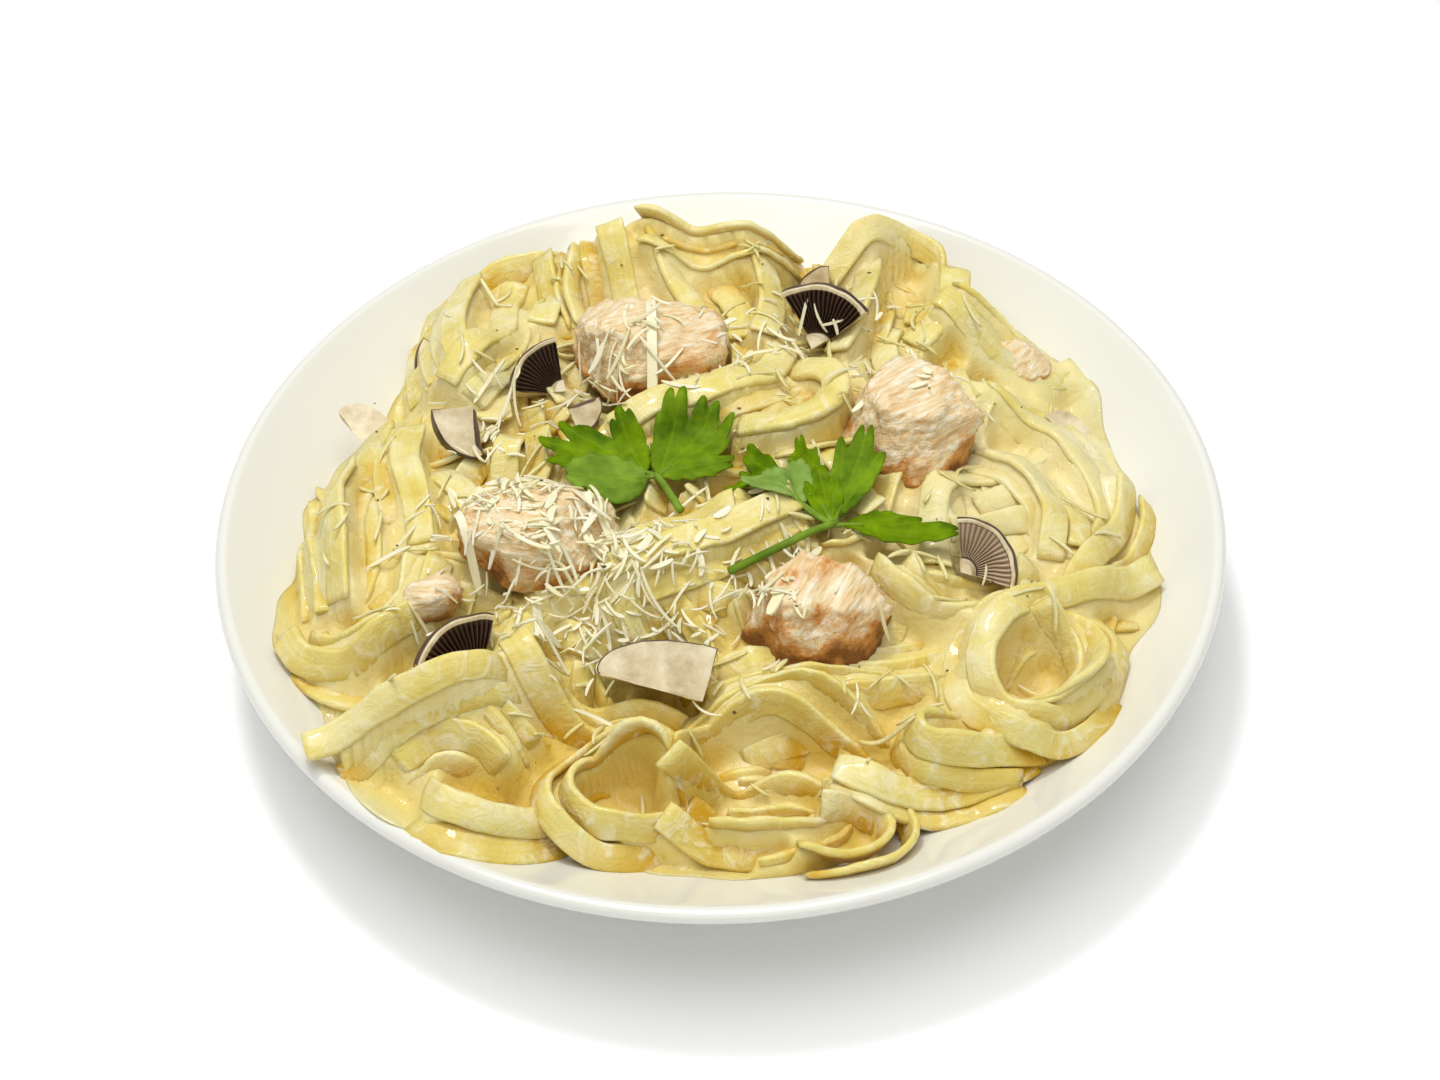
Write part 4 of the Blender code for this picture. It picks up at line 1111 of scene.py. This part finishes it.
# Node, form, size, half the wedge's angle, which way its face points, which way its edge points, and how far
# it is moved from the CAD piece's middle. The face is the gills of a "gills" piece, whose edge is the cap's
# rim, and the knife cut of a "cut" piece, whose edge is the top of the cap. A "plain cut" piece is all flesh, a
# "long cut" one is wider, and "light gills" are paler.
MUSHROOMS = (
    ("mushroom_back", "gills", 1.25, 42, (-0.25, -0.75, 0.65), (0.25, 0.6, 0.7), (0, -8, 1)),
    ("mushroom_behind", "cut", 0.6, 30, (0, -0.8, 0.5), (0, 0.2, 1), (0, 0, 0)),
    ("mushroom_gills", "gills", 1.05, 40, (0.2, -0.6, 0.8), (-0.7, 0.5, 0.3), (0, 0, 1)),
    ("mushroom_strip", "cut", 0.6, 25, (0.1, -0.6, 0.8), (0.3, -0.8, -0.3), (0, 0, -1)),
    ("mushroom_left", "cut", 0.95, 25, (0.4, -0.5, 0.75), (-0.8, -0.35, 0.3), (0, 0, 1)),
    ("mushroom_tip", "plain cut", 0.75, 25, (0, -0.5, 0.85), (0.6, 0.7, -0.3), (-1, 0, 0)),
    ("mushroom_rim_left", "cut", 0.8, 20, (0.4, -0.6, 0.7), (-0.85, 0.4, 0.3), (5, 0, -1)),
    ("mushroom_inner", "gills", 0.75, 35, (0.3, -0.8, 0.6), (0.4, 0.6, 0.5), (0, 0, -1)),
    ("mushroom_pit", "gills", 1.2, 42, (0.35, -0.55, 0.75), (-0.5, 0.6, 0.5), (0, 0, 3)),
    ("mushroom_front", "long cut", 1.15, 28, (-0.1, -0.6, 0.8), (0.3, 0.85, 0.3), (1, 1, 1)),
    ("mushroom_right", "light gills", 0.95, 55, (-0.2, -0.7, 0.7), (0.75, 0.35, 0.45), (1, 0, 1)),
    ("mushroom_rim_right", "plain cut", 0.75, 20, (0.3, -0.5, 0.8), (0.8, 0.5, 0.1), (0, 0, -2)),
    ("mushroom_sliver", "cut", 0.55, 20, (0.2, -0.6, 0.8), (0.5, -0.8, 0.0), (0, 0, -1)),
)
CAP_RADIUS, CAP_HEIGHT = 15.0, 11.0
FLESH, SKIN, GILLS = 0.0, 0.5, 1.0


def mushroom_profile(scale, form):
    """Half of a cap's outline: (radius, height, what it is) from its top to the flesh in the middle below."""
    cap, height = CAP_RADIUS * scale, CAP_HEIGHT * scale
    if form == "long cut":
        cap, height = cap * 1.6, height * 0.95
    outline = [(cap * math.sin(a), height * math.cos(a), SKIN) for a in np.linspace(0, math.pi / 2, 14)]
    outline += [(cap * 0.99, -height * 0.10, SKIN), (cap * 0.94, -height * 0.18, FLESH)]
    outline += [(cap * 0.9, -height * 0.16, FLESH)]
    if form == "plain cut":
        outline = [(r, z, FLESH) for r, z, _ in outline]
    if form.endswith("cut"):
        under = GILLS if form == "cut" else FLESH
        outline += [(cap * f, -height * 0.14, under) for f in np.linspace(0.85, 0.12, 11)]
        return outline + [(0.0, -height * 0.12, FLESH)]
    outline += [(cap * f, height * (0.30 - 0.45 * f), GILLS) for f in np.linspace(0.87, 0.30, 11)]
    outline += [(cap * 0.24, height * 0.10, FLESH), (cap * 0.2, -height * 0.2, FLESH), (0.0, -height * 0.25, FLESH)]
    return outline


def wedge_shape(scale, form, half_angle):
    """A sector of the cap with gills in relief below it."""
    profile = mushroom_profile(scale, form)
    steps = 4 * max(6, int(half_angle * scale / 3.0))
    points, part, gill, faces = [], [], [], []
    for step in range(steps + 1):
        angle = math.radians(half_angle * (2 * step / steps - 1))
        ridge = 0.5 + 0.5 * math.cos(math.pi * step / 2)
        for r, z, kind in profile:
            lift = -0.8 * ridge * scale if kind == GILLS else 0.0
            points.append((r * math.cos(angle), r * math.sin(angle), z + lift))
            part.append(kind)
            gill.append(0.32 * ridge + 0.66 if form == "light gills" else 0.5 * ridge)
    rows = len(profile)
    for step in range(steps):
        for i in range(rows - 1):
            here, there = step * rows + i, (step + 1) * rows + i
            faces.append((here, here + 1, there + 1, there))
    for step, flip in ((0, False), (steps, True)):
        ring = list(range(step * rows, (step + 1) * rows))
        add_cut_face(points, part, gill, faces, ring, flip)
    return points, part, gill, faces


def add_cut_face(points, part, gill, faces, ring, flip):
    """Closes a ring with a knife cut: a thin border in the ring's own colours, and flesh inside it."""
    corners = np.array([points[i] for i in ring])
    middle = corners.mean(axis=0)
    inner = []
    for i in ring:
        inward = middle - np.array(points[i])
        length = max(np.linalg.norm(inward), 1e-6)
        depth = 2.8 if part[i] == GILLS else 0.8
        inner.append(len(points))
        points.append(tuple(np.array(points[i]) + inward / length * min(depth, length * 0.5)))
        part.append(FLESH)
        gill.append(gill[i])
    for i in range(len(ring)):
        j = (i + 1) % len(ring)
        face = (ring[i], ring[j], inner[j], inner[i])
        faces.append(face if flip else face[::-1])
    faces.append(tuple(inner) if flip else tuple(reversed(inner)))


def basis(first, second):
    """Right-handed unit axes: the first as given, and the second turned to be square to it."""
    first = Vector(first).normalized()
    second = Vector(second)
    second = (second - first * second.dot(first)).normalized()
    return Matrix((first, second, first.cross(second))).transposed()


def make_mushrooms():
    material = mushroom_material()
    for number, (node, form, scale, half_angle, facing, edge, moved) in enumerate(MUSHROOMS):
        points, part, gill, faces = wedge_shape(scale, form, half_angle)
        turn = math.radians(half_angle)
        cut = form.endswith("cut")
        own = basis((-math.sin(turn), math.cos(turn), 0), (0, 0, 1)) if cut else basis((0, 0, -1), (1, 0, 0))
        turned = basis(facing, edge) @ own.transposed()
        points = np.array([turned @ Vector(p) for p in points])
        low, high = (np.array(corner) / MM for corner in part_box(node))
        points += (low + high) / 2 - (points.min(axis=0) + points.max(axis=0)) / 2 + np.array(moved)
        for axis in range(3):
            points[:, axis] += 0.45 * noise_at(points, (5, 5, 5), number * 4.1 + axis * 17)
        values = {"part": part, "gill": gill}
        piece = make_object(node + "_piece", points, faces, material, attributes=values)
        bm = bmesh.new()
        bm.from_mesh(piece.data)
        bmesh.ops.remove_doubles(bm, verts=bm.verts, dist=0.02 * MM)
        bmesh.ops.recalc_face_normals(bm, faces=bm.faces)
        bm.to_mesh(piece.data)
        bm.free()
        piece.data.set_sharp_from_angle(angle=math.radians(50))
        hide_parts(node)


# ---------------------------------------------------------------- parsley

# Each sprig: node, x and y of its hub, direction in degrees and length of its stalk, and its leaflets.
# Each leaflet: direction, petiole, lobes of (turn from that direction, length, width), lift of the tip, 0 dark
# to 1 light, and depth of the teeth as a share of the leaf's reach.
SPRIGS = (
    ("parsley_left", (-16, -5), (-62, 13), (
        (150, 4, ((-38, 19, 9), (-8, 29, 7), (6, 31, 8), (19, 27, 6)), 3.5, 0.0, 0.15),
        (184, 3, ((0, 21, 17), (-14, 18, 12), (18, 19, 13)), 6.5, 0.26, 0.05),
        (44, 1, ((-31, 21, 9), (-4, 26, 11), (9, 26, 10), (31, 24, 10)), 3.0, 0.06, 0.16),
    )),
    ("parsley_right", (29, -26), (-154, 30), (
        (134, 15, ((-13, 22, 7), (6, 17, 6), (27, 18, 6)), 1.0, 0.0, 0.14),
        (105, 18, ((-24, 9, 4), (0, 11, 5), (22, 9, 4)), 2.0, 0.0, 0.12),
        (-3, 4, ((-7, 24, 6), (0, 30, 8), (10, 21, 7), (19, 14, 6)), 0.8, 0.0, 0.12),
        (70, 5, ((-12, 25, 7), (0, 28, 8), (13, 24, 6)), 4.5, 0.06, 0.12),
        (97, 2, ((-17, 15, 5), (0, 20, 6), (17, 15, 5)), 3.0, 0.0, 0.12),
        (141, 12, ((18, 15, 8), (-20, 12, 10), (-60, 15, 8)), 4.0, 0.8, 0.06),
    )),
)
LEAF_THICKNESS = 0.4
TOOTH_DEGREES = 11
LEAF_STEPS, LEAF_RINGS = 240, 9


def leaf_reach(angle, lobes, teeth):
    """Distance from a leaf's foot to its edge in that direction: the furthest of the lobes, with round teeth."""
    best = 1.2
    for turn, length, width in lobes:
        off = angle - math.radians(turn)
        cos, sin = math.cos(off), math.sin(off)
        if cos > 0:
            best = max(best, length * cos / (cos * cos + (length / width * sin) ** 2))
    tooth = abs(math.sin(math.degrees(angle) * math.pi / TOOTH_DEGREES)) ** 0.6
    return best * (1 - teeth * (1 - tooth))


def add_leaflet(parts, hub, leaflet, drape):
    direction, petiole, lobes, tip, light, teeth = leaflet
    heading = math.radians(direction)
    foot = beside(*hub, petiole, heading)
    length = max(lobe[1] for lobe in lobes)
    points, vein = [], []
    for ring in range(LEAF_RINGS + 1):
        share = max(ring / LEAF_RINGS, 0.02)
        for step in range(LEAF_STEPS):
            angle = 2 * math.pi * step / LEAF_STEPS - math.pi
            reach = leaf_reach(angle, lobes, teeth) * share
            x, y = beside(*foot, reach, heading + angle)
            off = min(abs((angle - math.radians(lobe[0]) + math.pi) % (2 * math.pi) - math.pi) for lobe in lobes)
            apart = reach * math.sin(min(off, 1.2))
            rib = max(0.0, 1 - apart / 0.9)
            puff = 0.9 * min(apart / 3.0, 1.0) - 0.25 * apart * share
            ripple = 0.45 * math.sin(reach * 0.8 + angle * 9) * share**2
            height = drape(x, y, (petiole + reach) / (petiole + length))
            points.append((x, y, height + tip * (reach / length) ** 1.5 + puff + ripple))
            vein.append(rib)
    points = np.array(points)
    under = points - np.array([0, 0, LEAF_THICKNESS])
    faces = []
    total = len(points)
    for ring in range(LEAF_RINGS):
        here, there = ring * LEAF_STEPS, (ring + 1) * LEAF_STEPS
        faces += band_faces(here, there, LEAF_STEPS)
        faces += band_faces(here + total, there + total, LEAF_STEPS, flip=True)
    faces.append(tuple(range(LEAF_STEPS)))
    faces.append(tuple(reversed(range(total, total + LEAF_STEPS))))
    rim = LEAF_RINGS * LEAF_STEPS
    faces += band_faces(rim, rim + total, LEAF_STEPS)
    shade = np.full(2 * total, light)
    parts.add(np.concatenate([points, under]), faces, shade=shade, vein=np.tile(np.array(vein), 2))


def add_stem(parts, path, radii, sides=8):
    """A round stem through points in mm."""
    path = np.asarray(path, dtype=float)
    along = directions(path)
    side = np.cross(along, (0, 0, 1.0))
    side /= np.linalg.norm(side, axis=1)[:, None]
    upward = np.cross(side, along)
    points = []
    for i in range(len(path)):
        for k in range(sides):
            turn = 2 * math.pi * k / sides
            points.append(path[i] + radii[i] * (side[i] * math.cos(turn) + upward[i] * math.sin(turn)))
    faces = tube_faces(len(path), sides)
    parts.add(points, faces, shade=np.full(len(points), 0.3), vein=np.full(len(points), 0.5))


def make_parsley(heap):
    material = parsley_material()
    support = np.maximum(blurred(closed_by_ball(heap.top, 5.0), 2.5), blurred(heap.top, 1.5))
    for node, hub, stalk, leaflets in SPRIGS:
        parts = Parts("shade", "vein")
        hub_z = height_at(support, *hub) + 3.0

        def drape(x, y, reach):
            under = height_at(support, x, y)
            level = hub_z - 3.0 * reach**2
            return under + 0.8 + max(0.0, level - under) * 0.75

        def stem(direction, reaches, length, radii, lift):
            angle = math.radians(direction)
            path = []
            for reach in reaches:
                x, y = beside(*hub, reach, angle)
                path.append((x, y, drape(x, y, abs(reach) / length) + lift))
            add_stem(parts, path, np.linspace(*radii, len(path)))

        for leaflet in leaflets:
            add_leaflet(parts, hub, leaflet, drape)
            direction, petiole, lobes = leaflet[:3]
            length = petiole + max(lobe[1] for lobe in lobes)
            stem(direction, np.linspace(0, petiole + 4, 8), length, (0.75, 0.4), 0.0)
        direction, length = stalk
        stem(direction, length * np.linspace(-0.05, 1, 12), length, (0.95, 1.15), 0.3)
        sprig = parts.build(node + "_sprig", material)
        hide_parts(node)


# ---------------------------------------------------------------- cheese and pepper

# Middle x and y, spread in x and y, and share of the shreds in each drift.
CHEESE_DRIFTS = (
    (-46, -20, 13, 13, 0.26), (-30, -44, 19, 11, 0.36), (-18, 36, 16, 8, 0.08), (14, -46, 8, 9, 0.06),
    (20, 48, 20, 9, 0.06), (-60, 14, 8, 10, 0.06), (56, 30, 9, 7, 0.06), (0, -20, 40, 34, 0.08),
)
CHEESE_SHREDS = 620  # tries; those that would fall on a leaf are left out
# Middle x and y, turn in degrees, length and width.
BROAD_SHREDS = (
    (-17, 44, 91, 42, 2.8), (17, -46, 68, 30, 2.8), (-66, -26, 110, 27, 2.2), (-46, -55, 95, 22, 2.4),
    (-28, -30, 112, 20, 2.0), (21, -40, 62, 22, 1.8),
)
CLEARINGS = ((-29, -6, 13), (-34, 6, 14), (-6, 6, 15), (27, -10, 17), (48, -27, 14))  # x, y, reach: the leaves
# Length and width of the fine shreds.
SHRED_SIZES = ((3, 0.6), (4, 0.6), (4, 1.0), (5, 0.6), (6, 0.6), (6, 0.8), (8, 0.6), (10, 0.8), (13, 0.9), (7, 1.6))
STRANDS = 190  # tries; those near the heap's edge are left out


def add_shred(parts, heap, rng, x, y, turn, length, width, thickness, bend, bridging, embed):
    """One shred on the food; bridging 1 keeps it straight over the hollows, and 0 lets it follow them."""
    count = max(6, int(length / 1.3))
    t = (np.arange(count) / (count - 1) - 0.5) * length
    heading = turn + bend * t
    steps = np.stack([np.cos(heading), np.sin(heading)], axis=1) * length / count
    route = np.cumsum(steps, axis=0)
    route += np.array([x, y]) - route.mean(axis=0)
    roll = np.full(count, rng.uniform(-30, 30))
    shred = Noodle(route, roll, width, thickness, embed=embed)
    shred.settle(heap, (np.zeros((SIZE, SIZE)), np.zeros((SIZE, SIZE))))
    straight = np.polyval(np.polyfit(np.arange(count), shred.middle, 2), np.arange(count))
    straight += max(np.percentile(shred.middle - straight, 75), 0)
    shred.centre[:, 2] = (1 - bridging) * shred.middle + bridging * straight
    shred.print_on(heap.top, steps=5)
    taper = np.minimum(1, 0.45 + np.minimum(np.arange(count), np.arange(count)[::-1]) * 0.4)[:, None]
    points = []
    for a, b in ((-1, -1), (1, -1), (1, 1), (-1, 1)):
        points.append(shred.centre + shred.side * (a * width / 2) * taper + shred.face * (b * thickness / 2))
    points = np.stack(points, axis=1).reshape(-1, 3)
    parts.add(points, tube_faces(count, 4), **{key: np.zeros(len(points)) for key in parts.values})


def somewhere(rng, radius):
    """An even random spot within a radius of the middle."""
    turn = rng.uniform(0, 2 * math.pi)
    return beside(0, 0, radius * math.sqrt(rng.random()), turn)


def make_strands(heap):
    """Thin strands of cream and torn noodle that lie over the noodles."""
    rng = random.Random(12)
    parts = Parts("cavity")
    for _ in range(STRANDS):
        x, y = somewhere(rng, 112)
        if heap.share[cell_of(x), cell_of(y)] > 0.9:
            continue
        size = (rng.uniform(5, 15), rng.uniform(0.6, 1.2), rng.uniform(0.5, 0.7))
        add_shred(parts, heap, rng, x, y, rng.uniform(0, math.pi), *size, rng.uniform(-0.1, 0.1), 0.05, 0.45)
    parts.build("cream_strands", cream_material())


def make_cheese(heap):
    """Shreds of hard cheese that lie across the top, straight or slightly bent."""
    rng = random.Random(41)
    parts = Parts()
    for x, y, turn, length, width in BROAD_SHREDS:
        add_shred(parts, heap, rng, x, y, math.radians(turn), length, width, 0.8, 0.004, 0.6, 0.15)
    for _ in range(CHEESE_SHREDS):
        pick = rng.random()
        for x, y, spread_x, spread_y, share in CHEESE_DRIFTS:
            pick -= share
            if pick <= 0:
                break
        x, y = x + rng.gauss(0, spread_x), y + rng.gauss(0, spread_y)
        if any(math.hypot(x - middle_x, y - middle_y) < reach for middle_x, middle_y, reach in CLEARINGS):
            continue
        length, width = rng.choice(SHRED_SIZES)
        size = (length * rng.uniform(0.75, 1.25), width * rng.uniform(0.8, 1.2), rng.uniform(0.3, 0.45))
        bend = rng.uniform(-1.1, 1.1) / size[0]
        add_shred(parts, heap, rng, x, y, rng.uniform(0, math.pi), *size, bend, 0.25, 0.2)
    parts.build("cheese_shreds", cheese_material(), smooth=False)


PEPPER_SPECKS = 60
SPECK_SIZES = (0.25, 0.3, 0.35, 0.4, 0.5)


def make_pepper(heap):
    """Ground pepper and dried herb: small uneven grains on the food."""
    rng = random.Random(77)
    parts = Parts()
    bm = bmesh.new()
    bmesh.ops.create_icosphere(bm, subdivisions=1, radius=1.0)
    ball = np.array([v.co for v in bm.verts])
    ball_faces = [tuple(v.index for v in f.verts) for f in bm.faces]
    bm.free()
    for _ in range(PEPPER_SPECKS):
        x, y = somewhere(rng, 105)
        size = rng.choice(SPECK_SIZES)
        jitter = np.array([[rng.uniform(0.7, 1.2) for _ in range(3)] for _ in ball])
        scale = np.array([size * rng.uniform(0.8, 1.8), size, size * 0.6])
        z = float(heap.top[cell_of(x), cell_of(y)]) + size * 0.2
        parts.add(ball * jitter * scale + np.array([x, y, z]), ball_faces)
    parts.build("pepper_specks", pepper_material())


# ---------------------------------------------------------------- the dish

add_camera()
add_stage()
make_plate()
heap = Heap()
pasta_rng = random.Random(5)
shown = shown_noodles(pasta_rng)
heap.reserved = reserved_depth(shown)
shown = with_companions(shown, pasta_rng)
noodles = lay_fillers(heap)
lay_shown(heap, shown)
# the level a ball reaches; noodle points below it get painted shade
cavity_shade_field = closed_by_ball(heap.top, CAVITY_SHADE_BALL)
for name, group in (("noodles_loose", noodles), ("noodles_shown", shown)):
    parts = Parts("along", "cavity", "coated")
    for noodle in group:
        noodle.add_to(parts, pasta_rng, cavity_shade_field)
    pasta = parts.build(name, pasta_material())
    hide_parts("noodle_heap")
level, film_edge = lay_cream(heap)
make_cream(heap, level, film_edge)
heap.top = np.maximum(heap.top, level)
make_strands(heap)
heap.top = np.maximum(heap.top, heap.topping_top)
make_chicken()
make_mushrooms()
make_parsley(heap)
make_cheese(heap)
make_pepper(heap)
